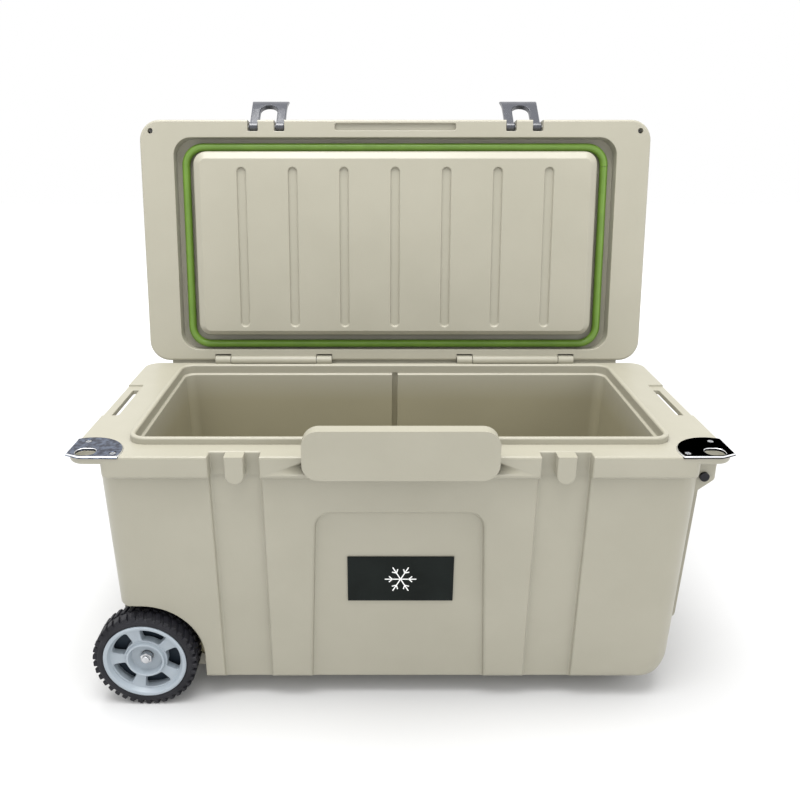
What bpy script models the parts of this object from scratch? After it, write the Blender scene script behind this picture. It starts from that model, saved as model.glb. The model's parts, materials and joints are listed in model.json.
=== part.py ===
"""Wheeled hard cooler: a foam-filled tub on two wheels, with a hinged lid that stands open.

Lengths are metres. The pieces are drawn in the tub's rim frame: X runs along the
tub, Y runs back from the front edge of the rim, and Z is measured from the rim's
flat top. One empty then stands the whole cooler on its wheels, over the origin.
"""
import bpy
import bmesh
from math import cos, pi, radians, sin
from mathutils import Matrix, Vector

# ---- driving dimensions -------------------------------------------------------
RIM_HALF = 0.4345
RIM_DEPTH = 0.405
RIM_THICK = 0.011
BAND_HEIGHT = 0.033
WALL_HALF = 0.403
WALL_INSET = 0.012
TUB_HEIGHT = 0.364
END_DRAFT = 0.006
SIDE_DRAFT = 0.0075
CORNER_RADIUS = 0.030
SKIN = 0.005
GAP = 0.0004

OPENING_HALF = 0.359
OPENING_FRONT = 0.049
OPENING_BACK = 0.3605
RIDGE_WIDTH = 0.008
RIDGE_HEIGHT = 0.0095
LEDGE_DROP = 0.006
LEDGE_WIDTH = 0.004
LINER_FLOOR = -0.322
LINER_DRAFT = 0.009
STEP_EDGE = -0.256
STEP_TOP = -0.212

WHEEL_RADIUS = 0.075
WHEEL_WIDTH = 0.040
WHEEL_FACE = 0.004
WHEEL_X = -0.364
WHEEL_Z = -0.324
ARCH_RADIUS = 0.084
POCKET_DEPTH = 0.0505
AXLE_RADIUS = 0.006
FLOOR_Z = WHEEL_Z - WHEEL_RADIUS

HINGE_Y = RIM_DEPTH
HINGE_Z = 0.004
KNUCKLE_RADIUS = 0.0085
HINGE_PIN_RADIUS = 0.004
LID_KNUCKLE = (0.1375, 0.2865)
TUB_KNUCKLES = ((0.110, 0.1367), (0.2873, 0.314))
OPEN_ANGLE = radians(99.5)

LID_HALF = 0.4285
LID_UNDER = 0.0015
LID_THICK = 0.050
LID_SKIN = 0.006
LID_BEAM = 0.0255
LID_BACK_SKIN = 0.0145
GROOVE_TOP = 0.0135
GASKET_RADIUS = 0.006
GASKET_Z = 0.0158
GASKET_HALF = 0.361
GASKET_FRONT = 0.044
GASKET_BACK = 0.370
PLUG_LOW = -0.0105

LATCH_X = 0.2165
LATCH_LEG_OFFSET = 0.0222
LATCH_LEG_WIDTH = 0.0152
LATCH_PIVOT_Y = 0.010
LATCH_PIVOT_Z = 0.0185
LATCH_PIN_RADIUS = 0.003
LATCH_OPEN = radians(135.0)
TAB_HALF = 0.0125
TAB_LOW = -0.040
CHANNEL_EDGES = (0.182, 0.254)
CHANNEL_DEPTH = 0.007
PANEL_DEPTH = 0.007

PLATE_OUTER = 0.436
PLATE_THICK = 0.003
PLATE_TOP = 0.0015
PADLOCK_AT = (0.4115, 0.0145)
SCREW_SPOTS = ((0.3745, 0.0105), (0.4190, 0.0500))

HANDLE_PIVOT_X = 0.411
HANDLE_PIVOT_Z = -0.044
HANDLE_GRIP_X = 0.4035
HANDLE_GRIP_Z = -0.280
HANDLE_BOLT_RADIUS = 0.004
BRACKET_Y = (0.036, 0.060)

DRAIN_Y = RIM_DEPTH / 2
DRAIN_Z = -0.311

# The middle of the whole cooler's box, with the lid and the latches open.
MID_X = -0.0015
MID_Y = 0.27745

TAN = (0.43, 0.39, 0.29)


# ---- tools ---------------------------------------------------------------------
def clear_scene():
    for obj in list(bpy.data.objects):
        bpy.data.objects.remove(obj)


def make_material(name, colour, roughness, metallic=0.0):
    material = bpy.data.materials.new(name)
    material.use_nodes = True
    shader = material.node_tree.nodes["Principled BSDF"]
    shader.inputs["Base Color"].default_value = (*colour, 1.0)
    shader.inputs["Roughness"].default_value = roughness
    shader.inputs["Metallic"].default_value = metallic
    return material


def solid_from(bm, name="stock"):
    mesh = bpy.data.meshes.new(name)
    bm.to_mesh(mesh)
    bm.free()
    obj = bpy.data.objects.new(name, mesh)
    bpy.context.scene.collection.objects.link(obj)
    return obj


def block(low, high, shrink=(0.0, 0.0), upright=0.0, bottom=0.0, top=0.0, segments=3):
    """A box whose lower end may be smaller, with its edges rounded as asked."""
    bm = bmesh.new()
    bmesh.ops.create_cube(bm, size=1.0)
    middle = (Vector(low) + Vector(high)) / 2
    size = Vector(high) - Vector(low)
    for vert in bm.verts:
        is_low = vert.co.z < 0
        vert.co = Vector((vert.co.x * size.x, vert.co.y * size.y, vert.co.z * size.z)) + middle
        if is_low:
            vert.co.x -= shrink[0] * (1 if vert.co.x > middle.x else -1)
            vert.co.y -= shrink[1] * (1 if vert.co.y > middle.y else -1)
    if upright:
        edges = [e for e in bm.edges if abs(e.verts[0].co.z - e.verts[1].co.z) > size.z * 0.5]
        bevel(bm, edges, upright, segments + 1)
    for radius, level in ((bottom, low[2]), (top, high[2])):
        if radius:
            edges = [e for e in bm.edges if all(abs(v.co.z - level) < 1e-6 for v in e.verts)]
            bevel(bm, edges, radius, segments)
    return solid_from(bm)


def bevel(bm, edges, radius, segments):
    bmesh.ops.bevel(bm, geom=edges, offset=radius, segments=segments, profile=0.5,
                    affect="EDGES", material=-1)


AXIS_TURN = {
    "X": Matrix.Rotation(pi / 2, 4, "Y"),
    "Y": Matrix.Rotation(-pi / 2, 4, "X"),
    "Z": Matrix.Identity(4),
}


def rod(axis, centre, radius, length, sides=20, far_radius=None):
    """A round bar along one axis, about its centre."""
    bm = bmesh.new()
    end_radius = radius if far_radius is None else far_radius
    bmesh.ops.create_cone(bm, cap_ends=True, segments=sides, radius1=radius,
                          radius2=end_radius, depth=length)
    bm.transform(Matrix.Translation(centre) @ AXIS_TURN[axis])
    return solid_from(bm)


def slab(outline, thickness, place):
    """A flat outline as a filled 2D curve with thickness, set by a matrix."""
    curve = bpy.data.curves.new("outline", "CURVE")
    curve.dimensions = "2D"
    curve.fill_mode = "BOTH"
    curve.extrude = thickness / 2
    spline = curve.splines.new("POLY")
    spline.points.add(len(outline) - 1)
    for point, spot in zip(spline.points, outline):
        point.co = (spot[0], spot[1], 0.0, 1.0)
    spline.use_cyclic_u = True
    return mesh_of_curve(curve, place)


def mesh_of_curve(curve, place=Matrix.Identity(4)):
    holder = bpy.data.objects.new("curve", curve)
    bpy.context.scene.collection.objects.link(holder)
    depsgraph = bpy.context.evaluated_depsgraph_get()
    mesh = bpy.data.meshes.new_from_object(holder.evaluated_get(depsgraph))
    bpy.data.objects.remove(holder)
    bm = bmesh.new()
    bm.from_mesh(mesh)
    bmesh.ops.remove_doubles(bm, verts=bm.verts, dist=0.00002)
    bmesh.ops.recalc_face_normals(bm, faces=bm.faces)
    bm.transform(place)
    return solid_from(bm)


def side_slab(outline, y_low, y_high):
    """An outline drawn in X and Z, with its thickness along Y."""
    place = Matrix.Translation((0, (y_low + y_high) / 2, 0)) @ Matrix.Rotation(pi / 2, 4, "X")
    return slab(outline, y_high - y_low, place)


def flat_slab(outline, z_low, z_high):
    """An outline drawn in X and Y, with its thickness along Z."""
    return slab(outline, z_high - z_low, Matrix.Translation((0, 0, (z_low + z_high) / 2)))


def end_slab(outline, x_low, x_high):
    """An outline drawn in Y and Z, with its thickness along X."""
    turn = Matrix(((0, 0, 1, 0), (1, 0, 0, 0), (0, 1, 0, 0), (0, 0, 0, 1)))
    return slab(outline, x_high - x_low, Matrix.Translation(((x_low + x_high) / 2, 0, 0)) @ turn)


def arc(centre, radius, start, end, steps):
    """Points on an arc, with its angles in degrees."""
    points = []
    for i in range(steps + 1):
        angle = radians(start + (end - start) * i / steps)
        points.append((centre[0] + radius * cos(angle), centre[1] + radius * sin(angle)))
    return points


def round_rectangle(low, high, radius, steps=5):
    points = arc((high[0] - radius, high[1] - radius), radius, 0, 90, steps)
    points += arc((low[0] + radius, high[1] - radius), radius, 90, 180, steps)
    points += arc((low[0] + radius, low[1] + radius), radius, 180, 270, steps)
    points += arc((high[0] - radius, low[1] + radius), radius, 270, 360, steps)
    return points


def stadium(centre, half_length, half_width, steps=6):
    """A slot outline that runs along its second axis."""
    reach = half_length - half_width
    points = arc((centre[0], centre[1] + reach), half_width, 0, 180, steps)
    points += arc((centre[0], centre[1] - reach), half_width, 180, 360, steps)
    return points


def boolean(target, tools, operation):
    for tool in tools:
        modifier = target.modifiers.new(operation, "BOOLEAN")
        modifier.operation = operation
        modifier.solver = "EXACT"
        modifier.object = tool
    depsgraph = bpy.context.evaluated_depsgraph_get()
    mesh = bpy.data.meshes.new_from_object(target.evaluated_get(depsgraph))
    target.modifiers.clear()
    target.data = mesh
    for tool in tools:
        bpy.data.objects.remove(tool)
    return target


def cut(target, *tools):
    return boolean(target, tools, "DIFFERENCE")


def join(target, *tools):
    return boolean(target, tools, "UNION")


def lean(obj, slope):
    """Shears a piece along Y as it goes down, like the draft of the front wall."""
    for vert in obj.data.vertices:
        vert.co.y -= vert.co.z * slope
    return obj


def span(side, near, far):
    """A range of X from the middle outwards, on one side of the tub."""
    return (min(side * near, side * far), max(side * near, side * far))


def deliver(obj, name, material, axis=None):
    """Names a finished piece, and hangs it from its joint's empty."""
    obj.name = name
    obj.data.name = name
    obj.data.materials.clear()
    obj.data.materials.append(material)
    obj.data.shade_smooth()
    obj.data.set_sharp_from_angle(angle=radians(32))
    for collection in list(obj.users_collection):
        collection.objects.unlink(obj)
    COOLER.objects.link(obj)
    if axis is None:
        obj.parent = AXES["tub"]
        return obj
    obj.data.transform(Matrix.Translation(-Vector(PIVOTS[axis])))
    obj.parent = AXES[axis]
    return obj


# ---- joints --------------------------------------------------------------------
BACK_WHEEL_Y = RIM_DEPTH - WHEEL_FACE - WHEEL_WIDTH / 2
PIVOTS = {
    "lid": (0.0, HINGE_Y, HINGE_Z),
    "latch_left": (-LATCH_X, LATCH_PIVOT_Y, LATCH_PIVOT_Z),
    "latch_right": (LATCH_X, LATCH_PIVOT_Y, LATCH_PIVOT_Z),
    "wheel_front": (WHEEL_X, WHEEL_FACE + WHEEL_WIDTH / 2, WHEEL_Z),
    "wheel_back": (WHEEL_X, BACK_WHEEL_Y, WHEEL_Z),
    "tow_handle": (HANDLE_PIVOT_X, RIM_DEPTH / 2, HANDLE_PIVOT_Z),
    "drain_cap": (WALL_HALF, DRAIN_Y, DRAIN_Z),
}


def make_axes():
    """The cooler's own frame, and one empty on the axis of each joint."""
    axes = {"tub": new_empty("tub_axis", (-MID_X, -MID_Y, -FLOOR_Z), None)}
    for name, spot in PIVOTS.items():
        if name.startswith("latch"):
            spot = Vector(spot) - Vector(PIVOTS["lid"])
            axes[name] = new_empty(name + "_axis", spot, axes["lid"])
            axes[name].rotation_euler = (-LATCH_OPEN, 0, 0)
            continue
        axes[name] = new_empty(name + "_axis", spot, axes["tub"])
    axes["lid"].rotation_euler = (-OPEN_ANGLE, 0, 0)
    return axes


def new_empty(name, spot, parent):
    empty = bpy.data.objects.new(name, None)
    empty.empty_display_size = 0.03
    empty.location = spot
    empty.parent = parent
    COOLER.objects.link(empty)
    return empty


# ---- tub -----------------------------------------------------------------------
def arch_outline(grow):
    """The wheel arch: round over the wheel, and open to the end of the tub."""
    radius = ARCH_RADIUS + grow
    below = WHEEL_Z - 0.12
    points = arc((WHEEL_X, WHEEL_Z), radius, 90, 0, 8)
    points.append((WHEEL_X + radius, below))
    points.append((WHEEL_X - 0.12, below))
    points.append((WHEEL_X - 0.12, WHEEL_Z + radius))
    return points


def arches(grow):
    """Cutters for both wheel pockets."""
    front = side_slab(arch_outline(grow), -0.03, POCKET_DEPTH + grow)
    back = side_slab(arch_outline(grow), RIM_DEPTH - POCKET_DEPTH - grow, RIM_DEPTH + 0.03)
    return [front, back]


def core(grow):
    """The room between the skins. grow takes that much off it all round."""
    room = block((-0.392 + grow, 0.0295 + grow, -TUB_HEIGHT + SKIN + grow),
                 (0.392 - grow, 0.3755 - grow, -0.008 - grow),
                 shrink=(END_DRAFT, SIDE_DRAFT), upright=0.022, segments=2)
    axle_sleeve = rod("Y", (WHEEL_X, RIM_DEPTH / 2, WHEEL_Z), 0.0125 + grow, RIM_DEPTH, 16)
    grip_boss = block((-0.43, 0.043 - grow, -0.100 - grow), (-0.378 + grow, 0.362 + grow, -0.045 + grow))
    nest_boss = block((0.384 - grow, 0.051 - grow, -0.308 - grow), (0.43, 0.354 + grow, -0.018 + grow))
    finger_boss = block((0.369 - grow, 0.109 - grow, -0.2965 - grow), (0.43, 0.296 + grow, -0.234 + grow))
    return cut(room, *arches(SKIN + grow), axle_sleeve, grip_boss, nest_boss, finger_boss)


def rim_outline():
    """The rim's flat top: cut back at the front corners, rounded at the back ones."""
    setback = 0.0004
    half = [(0.4215, setback), (RIM_HALF, 0.026)]
    half += arc((RIM_HALF - 0.030, RIM_DEPTH - setback - 0.030), 0.030, 0, 90, 4)
    return half + [(-x, y) for x, y in reversed(half)]


def latch_tab(side):
    """The tongue that a latch hooks under."""
    x = side * LATCH_X
    outline = [(x + TAB_HALF, -0.0005), (x - TAB_HALF, -0.0005)]
    outline += arc((x, TAB_LOW + TAB_HALF), TAB_HALF, 180, 360, 8)
    return side_slab(outline, 0.0, 0.022)


def latch_gap(side):
    """The gap in the rim's edge for a latch's two legs. Its tab goes in the middle."""
    x0, x1 = span(side, 0.1835, 0.2505)
    return block((x0, -0.02, -0.045), (x1, 0.0155, 0.01))


def channel(side):
    """A shallow channel down the front wall, below each latch."""
    x0, x1 = span(side, *CHANNEL_EDGES)
    front = block((x0, -0.02, -0.42), (x1, WALL_INSET + CHANNEL_DEPTH, -0.015))
    return lean(front, SIDE_DRAFT / TUB_HEIGHT)


def front_panel():
    """The recessed panel in the middle of the front wall, open at its foot."""
    top = -0.090
    radius = 0.020
    outline = [(0.128, -0.42)]
    outline += arc((0.114 - radius, top - radius), radius, 0, 90, 4)
    outline += [(-x, z) for x, z in reversed(outline)]
    panel = side_slab(outline, -0.02, WALL_INSET + PANEL_DEPTH)
    return lean(panel, SIDE_DRAFT / TUB_HEIGHT)


def finger_scoop():
    """The notch in the rim where fingers reach under the lid."""
    bm = bmesh.new()
    bmesh.ops.create_cube(bm, size=1.0)
    shape = {(-1, -1): (0.117, -0.0245), (-1, 1): (0.1355, 0.002),
             (1, -1): (0.107, -0.0155), (1, 1): (0.1275, 0.002)}
    for vert in bm.verts:
        deep = 1 if vert.co.y > 0 else -1
        high = 1 if vert.co.z > 0 else -1
        half, z = shape[(deep, high)]
        vert.co = Vector((half if vert.co.x > 0 else -half, 0.0185 if deep > 0 else -0.005, z))
    bmesh.ops.triangulate(bm, faces=bm.faces)
    return solid_from(bm)


def strap_pocket(side):
    """A lowered strip at the side of the rim, and the strap slot in it."""
    x0, x1 = span(side, 0.410, 0.45)
    strip = block((x0, 0.150, -0.004), (x1, 0.286, 0.01))
    s0, s1 = span(side, 0.4130, 0.4225)
    slot = block((s0, 0.156, -0.02), (s1, 0.270, 0.01))
    return strip, slot


def padlock_hole(side, grow=0.0):
    x, y = PADLOCK_AT
    outline = round_rectangle((side * x - 0.013 - grow, y - 0.011 - grow),
                              (side * x + 0.013 + grow, y + 0.011 + grow), 0.009 + grow, 3)
    return flat_slab(outline, -0.03, 0.02)


def plate_outline(side, grow=0.0):
    """The steel corner plate: straight in front, pointed outside, rounded inside."""
    outline = [(0.364 - grow, -0.0015 - grow), (0.4165 + grow, -0.0015 - grow),
               (PLATE_OUTER + grow, 0.008), (PLATE_OUTER + grow, 0.0635 + grow),
               (0.414, 0.0640 + grow)]
    outline += arc((0.4135, 0.0140), 0.0500 + grow, 106, 168, 5)
    if side < 0:
        outline = [(-x, y) for x, y in reversed(outline)]
    return outline


def handle_bracket(mirror):
    """A moulded ear under the rim that carries one end of the tow handle."""
    outline = [(0.385, -0.005), (0.4275, -0.005), (0.4275, -0.050), (0.4200, -0.056), (0.4000, -0.070),
               (0.385, -0.070)]
    y0, y1 = BRACKET_Y
    y1 += 0.002
    if mirror:
        y0, y1 = RIM_DEPTH - y1, RIM_DEPTH - y0
    return side_slab(outline, y0, y1)


def hinge_block(side, low, high):
    """A tub knuckle, on a foot that joins the back of the rim."""
    outline = [(HINGE_Y - 0.024, -0.0012), (HINGE_Y - 0.024, -0.030), (HINGE_Y + KNUCKLE_RADIUS, -0.030)]
    outline += arc((HINGE_Y, HINGE_Z), KNUCKLE_RADIUS, 0, 180, 10)
    outline.append((HINGE_Y - KNUCKLE_RADIUS, -0.0012))
    return end_slab(outline, *span(side, low, high))


def tub_shell():
    shell = block((-WALL_HALF, WALL_INSET, -TUB_HEIGHT), (WALL_HALF, RIM_DEPTH - WALL_INSET, -0.002),
                  shrink=(END_DRAFT, SIDE_DRAFT), upright=CORNER_RADIUS, bottom=0.016, segments=4)
    rim = flat_slab(rim_outline(), -RIM_THICK, 0.0)
    band = block((-0.392, 0.0, -BAND_HEIGHT), (0.392, RIM_DEPTH, -0.001), upright=0.010, segments=2)
    band = cut(band, block((-0.5, 0.03, -0.2), (0.5, RIM_DEPTH - 0.03, -0.012)))
    cut(shell, front_panel(), channel(-1), channel(1))
    join(shell, rim, band, handle_bracket(False), handle_bracket(True))
    cut(shell, finger_scoop(), *arches(0.0))
    for side in (-1, 1):
        cut(shell, latch_gap(side), *strap_pocket(side), padlock_hole(side))
        join(shell, latch_tab(side))
        cut(shell, flat_slab(plate_outline(side, GAP), PLATE_TOP - PLATE_THICK - GAP, 0.01))
        for x, y in SCREW_SPOTS:
            cut(shell, rod("Z", (side * x, y, 0.0), 0.0024, 0.018, 8))
    cut(shell, core(0.0))
    cut(shell, block((-OPENING_HALF - RIDGE_WIDTH - GAP, OPENING_FRONT - RIDGE_WIDTH - GAP, -0.02),
                     (OPENING_HALF + RIDGE_WIDTH + GAP, OPENING_BACK + RIDGE_WIDTH + GAP, 0.01),
                     upright=0.024 + GAP, segments=3))
    grip_pocket = block((-0.43, 0.048, -0.095), (-0.384, 0.357, -0.050), upright=0.006, segments=1)
    handle_nest = block((0.3895, 0.0605, -0.303), (0.43, RIM_DEPTH - 0.0605, -0.0225))
    finger_pocket = block((0.3745, 0.115, -0.291), (0.41, 0.290, -0.240), upright=0.004, segments=1)
    cut(shell, grip_pocket, handle_nest, finger_pocket)
    cut(shell, rod("Y", (WHEEL_X, RIM_DEPTH / 2, WHEEL_Z), AXLE_RADIUS + GAP, 0.45, 16))
    cut(shell, drain_bore(), handle_bolt_bore())
    cut_hinge(shell)
    return shell


def cut_hinge(shell):
    """Adds the tub's knuckles, and clears the lid's."""
    for side in (-1, 1):
        x0, x1 = span(side, LID_KNUCKLE[0] - 0.0004, LID_KNUCKLE[1] + 0.0004)
        reach = KNUCKLE_RADIUS + 0.0015
        cut(shell, rod("X", ((x0 + x1) / 2, HINGE_Y, HINGE_Z), reach, x1 - x0, 20))
        for low, high in TUB_KNUCKLES:
            join(shell, hinge_block(side, low, high))
        bore = rod("X", (side * 0.212, HINGE_Y, HINGE_Z), HINGE_PIN_RADIUS + GAP, 0.24, 16)
        cut(shell, bore)


def drain_bore(grow=GAP):
    return rod("X", (0.37, DRAIN_Y, DRAIN_Z), 0.0095 + grow, 0.10, 16)


def handle_bolt_bore():
    return rod("Y", (HANDLE_PIVOT_X, RIM_DEPTH / 2, HANDLE_PIVOT_Z), HANDLE_BOLT_RADIUS + GAP, 0.40, 16)


def liner_outside(grow=0.0):
    outer = OPENING_HALF + RIDGE_WIDTH + grow
    body = block((-outer, OPENING_FRONT - RIDGE_WIDTH - grow, LINER_FLOOR - SKIN - grow),
                 (outer, OPENING_BACK + RIDGE_WIDTH + grow, RIDGE_HEIGHT + grow),
                 shrink=(0.015, 0.0125), upright=0.024, bottom=0.012)
    step = block((-0.45, -0.05, -0.45), (STEP_EDGE - SKIN - grow, 0.45, STEP_TOP - SKIN - grow))
    return cut(body, step)


def tub_liner():
    liner = liner_outside()
    mouth = block((-OPENING_HALF, OPENING_FRONT, -LEDGE_DROP), (OPENING_HALF, OPENING_BACK, 0.03),
                  upright=0.018)
    inside = OPENING_HALF - LEDGE_WIDTH
    hollow = block((-inside, OPENING_FRONT + LEDGE_WIDTH, LINER_FLOOR),
                   (inside, OPENING_BACK - LEDGE_WIDTH, 0.0),
                   shrink=(LINER_DRAFT, 0.0065), upright=0.018, bottom=0.010)
    hollow = cut(hollow, block((-0.45, -0.05, -0.45), (STEP_EDGE, 0.45, STEP_TOP)))
    cut(liner, hollow, mouth)
    groove_front = lean(block((-0.0048, 0.0480, LINER_FLOOR + 0.02), (0.0048, 0.07, -0.004)), 0.0202)
    groove_back = lean(block((-0.0048, 0.34, LINER_FLOOR + 0.02), (0.0048, 0.3615, -0.004)), -0.0202)
    cut(liner, groove_front, groove_back, drain_bore())
    return liner


def tub_foam():
    return cut(core(GAP), liner_outside(GAP), drain_bore())


def corner_plate(side):
    plate = flat_slab(plate_outline(side), PLATE_TOP - PLATE_THICK, PLATE_TOP)
    cut(plate, padlock_hole(side))
    for x, y in SCREW_SPOTS:
        cut(plate, rod("Z", (side * x, y, 0.0), 0.0024, 0.02, 16))
        cut(plate, rod("Z", (side * x, y, PLATE_TOP - 0.0010), 0.0028, 0.0030, 16, far_radius=0.0053))
    return plate


def plate_screw(side, spot):
    """A countersunk screw, with its head just below the plate's face."""
    x, y = side * spot[0], spot[1]
    head = rod("Z", (x, y, PLATE_TOP - 0.0012), 0.0024, 0.0022, 16, far_radius=0.0043)
    shank = rod("Z", (x, y, -0.0041), 0.0019, 0.0088, 16)
    return join(head, shank)


def badge():
    """A blank rectangular name plate on the front panel."""
    wall = WALL_INSET + PANEL_DEPTH
    plate = block((-0.0715, wall - 0.0022, -0.232), (0.0765, wall - GAP, -0.160), upright=0.0)
    return lean(plate, SIDE_DRAFT / TUB_HEIGHT)


def foot(y):
    height = -TUB_HEIGHT - FLOOR_Z - GAP
    return rod("Z", (0.325, y, FLOOR_Z + height / 2), 0.021, height, 20, far_radius=0.024)


# ---- wheels --------------------------------------------------------------------
def turned(profile, steps, y_start, direction):
    """A profile of (radius, distance from the outer face), turned about the axle."""
    mesh = bpy.data.meshes.new("turned")
    points = [(r, 0.0, -d) for r, d in profile]
    edges = [(i, (i + 1) % len(points)) for i in range(len(points))]
    mesh.from_pydata(points, edges, [])
    obj = bpy.data.objects.new("turned", mesh)
    bpy.context.scene.collection.objects.link(obj)
    screw = obj.modifiers.new("Turn", "SCREW")
    screw.axis = "Z"
    screw.steps = steps
    screw.render_steps = steps
    screw.use_merge_vertices = True
    screw.merge_threshold = 0.00001
    depsgraph = bpy.context.evaluated_depsgraph_get()
    baked = bpy.data.meshes.new_from_object(obj.evaluated_get(depsgraph))
    bpy.data.objects.remove(obj)
    bm = bmesh.new()
    bm.from_mesh(baked)
    bmesh.ops.remove_doubles(bm, verts=bm.verts, dist=0.00001)
    bmesh.ops.recalc_face_normals(bm, faces=bm.faces)
    turn = Matrix.Rotation(pi / 2 * direction, 4, "X")
    bm.transform(Matrix.Translation((WHEEL_X, y_start, WHEEL_Z)) @ turn)
    return solid_from(bm)


def wheel_start(back):
    """The outer face of a wheel, and the way its axle runs in from there."""
    if back:
        return RIM_DEPTH - WHEEL_FACE, -1
    return WHEEL_FACE, 1


def tyre(back):
    start, direction = wheel_start(back)
    width = WHEEL_WIDTH
    profile = [(0.0602, 0.001), (0.066, 0.0), (0.0715, 0.003), (0.0745, 0.008), (WHEEL_RADIUS, 0.014),
               (WHEEL_RADIUS, width - 0.014), (0.0745, width - 0.008), (0.0715, width - 0.003),
               (0.066, width), (0.0602, width - 0.001)]
    return turned(profile, 36, start, direction)


def wheel_rim(back):
    start, direction = wheel_start(back)
    profile = [(0.0598, 0.0020), (0.0575, 0.0002), (0.0545, 0.0020), (0.0525, 0.0100), (0.0290, 0.0100),
               (0.0265, 0.0040), (0.0245, 0.0040), (0.0225, 0.0160), (0.0092, 0.0170), (0.0092, 0.0400),
               (0.0150, 0.0400), (0.0160, 0.0220), (0.0530, 0.0180), (0.0545, 0.0390), (0.0598, 0.0390)]
    rim = turned(profile, 30, start, direction)
    for i in range(5):
        cut(rim, rim_window(i, start))
    return rim


def rim_window(index, start):
    """One of five windows between the spokes."""
    middle = 72 * index
    outline = arc((0.0, 0.0), 0.0505, middle - 23, middle + 23, 4)
    outline += arc((0.0, 0.0), 0.0310, middle + 17, middle - 17, 2)
    outline = [(WHEEL_X + x, WHEEL_Z + z) for x, z in outline]
    return side_slab(outline, start - 0.05, start + 0.05)


def sleeve(axis, centre, inner, outer, length, sides=20):
    tube = rod(axis, centre, outer, length, sides)
    return cut(tube, rod(axis, centre, inner, length + 0.01, sides))


def axle_ring(back, low, high, outer):
    """A ring on the axle, between two distances from the wheel's outer face."""
    start, direction = wheel_start(back)
    centre = (WHEEL_X, start + direction * (low + high) / 2, WHEEL_Z)
    return sleeve("Y", centre, AXLE_RADIUS + GAP, outer, high - low)


def axle_nut(back):
    """A hexagon nut with a low dome, screwed on the end of the axle."""
    start, direction = wheel_start(back)
    hexagon = rod("Y", (WHEEL_X, start + direction * 0.0115, WHEEL_Z), 0.0100, 0.0050, 6)
    return cut(hexagon, rod("Y", (WHEEL_X, start + direction * 0.0115, WHEEL_Z), AXLE_RADIUS + GAP, 0.02, 16))


def axle_rod():
    reach = 0.0055
    length = RIM_DEPTH - 2 * (WHEEL_FACE + reach)
    return rod("Y", (WHEEL_X, RIM_DEPTH / 2, WHEEL_Z), AXLE_RADIUS, length, 20)


# ---- lid -----------------------------------------------------------------------
def lid_core(grow):
    return block((-LID_HALF + LID_SKIN + grow, LID_BEAM + grow, LID_UNDER + LID_SKIN + grow),
                 (LID_HALF - LID_SKIN - grow, RIM_DEPTH - LID_BACK_SKIN - grow,
                  LID_UNDER + LID_THICK - LID_SKIN - grow), upright=0.028, segments=2)


def lid_window(grow, low, high):
    """The opening in the lid's underside, which the liner fills."""
    return block((-0.3724 - grow, 0.0286 - grow, low), (0.3724 + grow, 0.3858 + grow, high),
                 upright=0.030 + grow, segments=3)


def lid_shell():
    shell = block((-LID_HALF, 0.0, LID_UNDER), (LID_HALF, RIM_DEPTH, LID_UNDER + LID_THICK),
                  upright=0.034, top=0.012)
    cut(shell, lid_core(0.0))
    cut(shell, lid_window(GAP, -0.02, 0.010))
    cut(shell, block((-0.1015, 0.006, -0.01), (0.1015, 0.0178, 0.0065), upright=0.004, segments=1))
    for side in (-1, 1):
        cut(shell, *latch_notches(side), rod("Z", (side * 0.410, 0.018, 0.02), 0.0045, 0.10, 12))
        cut(shell, rod("X", (side * LATCH_X, LATCH_PIVOT_Y, LATCH_PIVOT_Z),
                       LATCH_PIN_RADIUS + GAP, 0.076, 12))
        for low, high in TUB_KNUCKLES:
            x0, x1 = span(side, low - 0.0006, high + 0.0006)
            cut(shell, rod("X", ((x0 + x1) / 2, HINGE_Y, HINGE_Z), KNUCKLE_RADIUS + 0.003, x1 - x0, 20))
        join(shell, lid_knuckle(side))
        cut(shell, rod("X", (side * 0.212, HINGE_Y, HINGE_Z), HINGE_PIN_RADIUS + GAP, 0.24, 16))
    return shell


def lid_knuckle(side):
    """The lid's knuckle, on a web that joins the back of the lid."""
    outline = arc((HINGE_Y, HINGE_Z), KNUCKLE_RADIUS, 118, 360, 13)
    outline += [(HINGE_Y + KNUCKLE_RADIUS, 0.024), (HINGE_Y - 0.004, 0.024)]
    return end_slab(outline, *span(side, *LID_KNUCKLE))


def latch_notches(side):
    cutters = []
    for leg in (-1, 1):
        middle = side * (LATCH_X + leg * LATCH_LEG_OFFSET)
        half = LATCH_LEG_WIDTH / 2 + 0.0011
        cutters.append(block((middle - half, -0.02, -0.02), (middle + half, 0.0185, 0.08),
                             upright=0.002, segments=1))
    return cutters


def gasket_loop(radius):
    """The seal's centre line is a rounded rectangle, and the tube follows it."""
    outline = round_rectangle((-GASKET_HALF, GASKET_FRONT), (GASKET_HALF, GASKET_BACK), 0.026, 6)
    curve = bpy.data.curves.new("gasket", "CURVE")
    curve.dimensions = "3D"
    curve.bevel_depth = radius
    curve.bevel_resolution = 3
    spline = curve.splines.new("POLY")
    spline.points.add(len(outline) - 1)
    for point, spot in zip(spline.points, outline):
        point.co = (spot[0], spot[1], GASKET_Z, 1.0)
    spline.use_cyclic_u = True
    return mesh_of_curve(curve)


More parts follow.
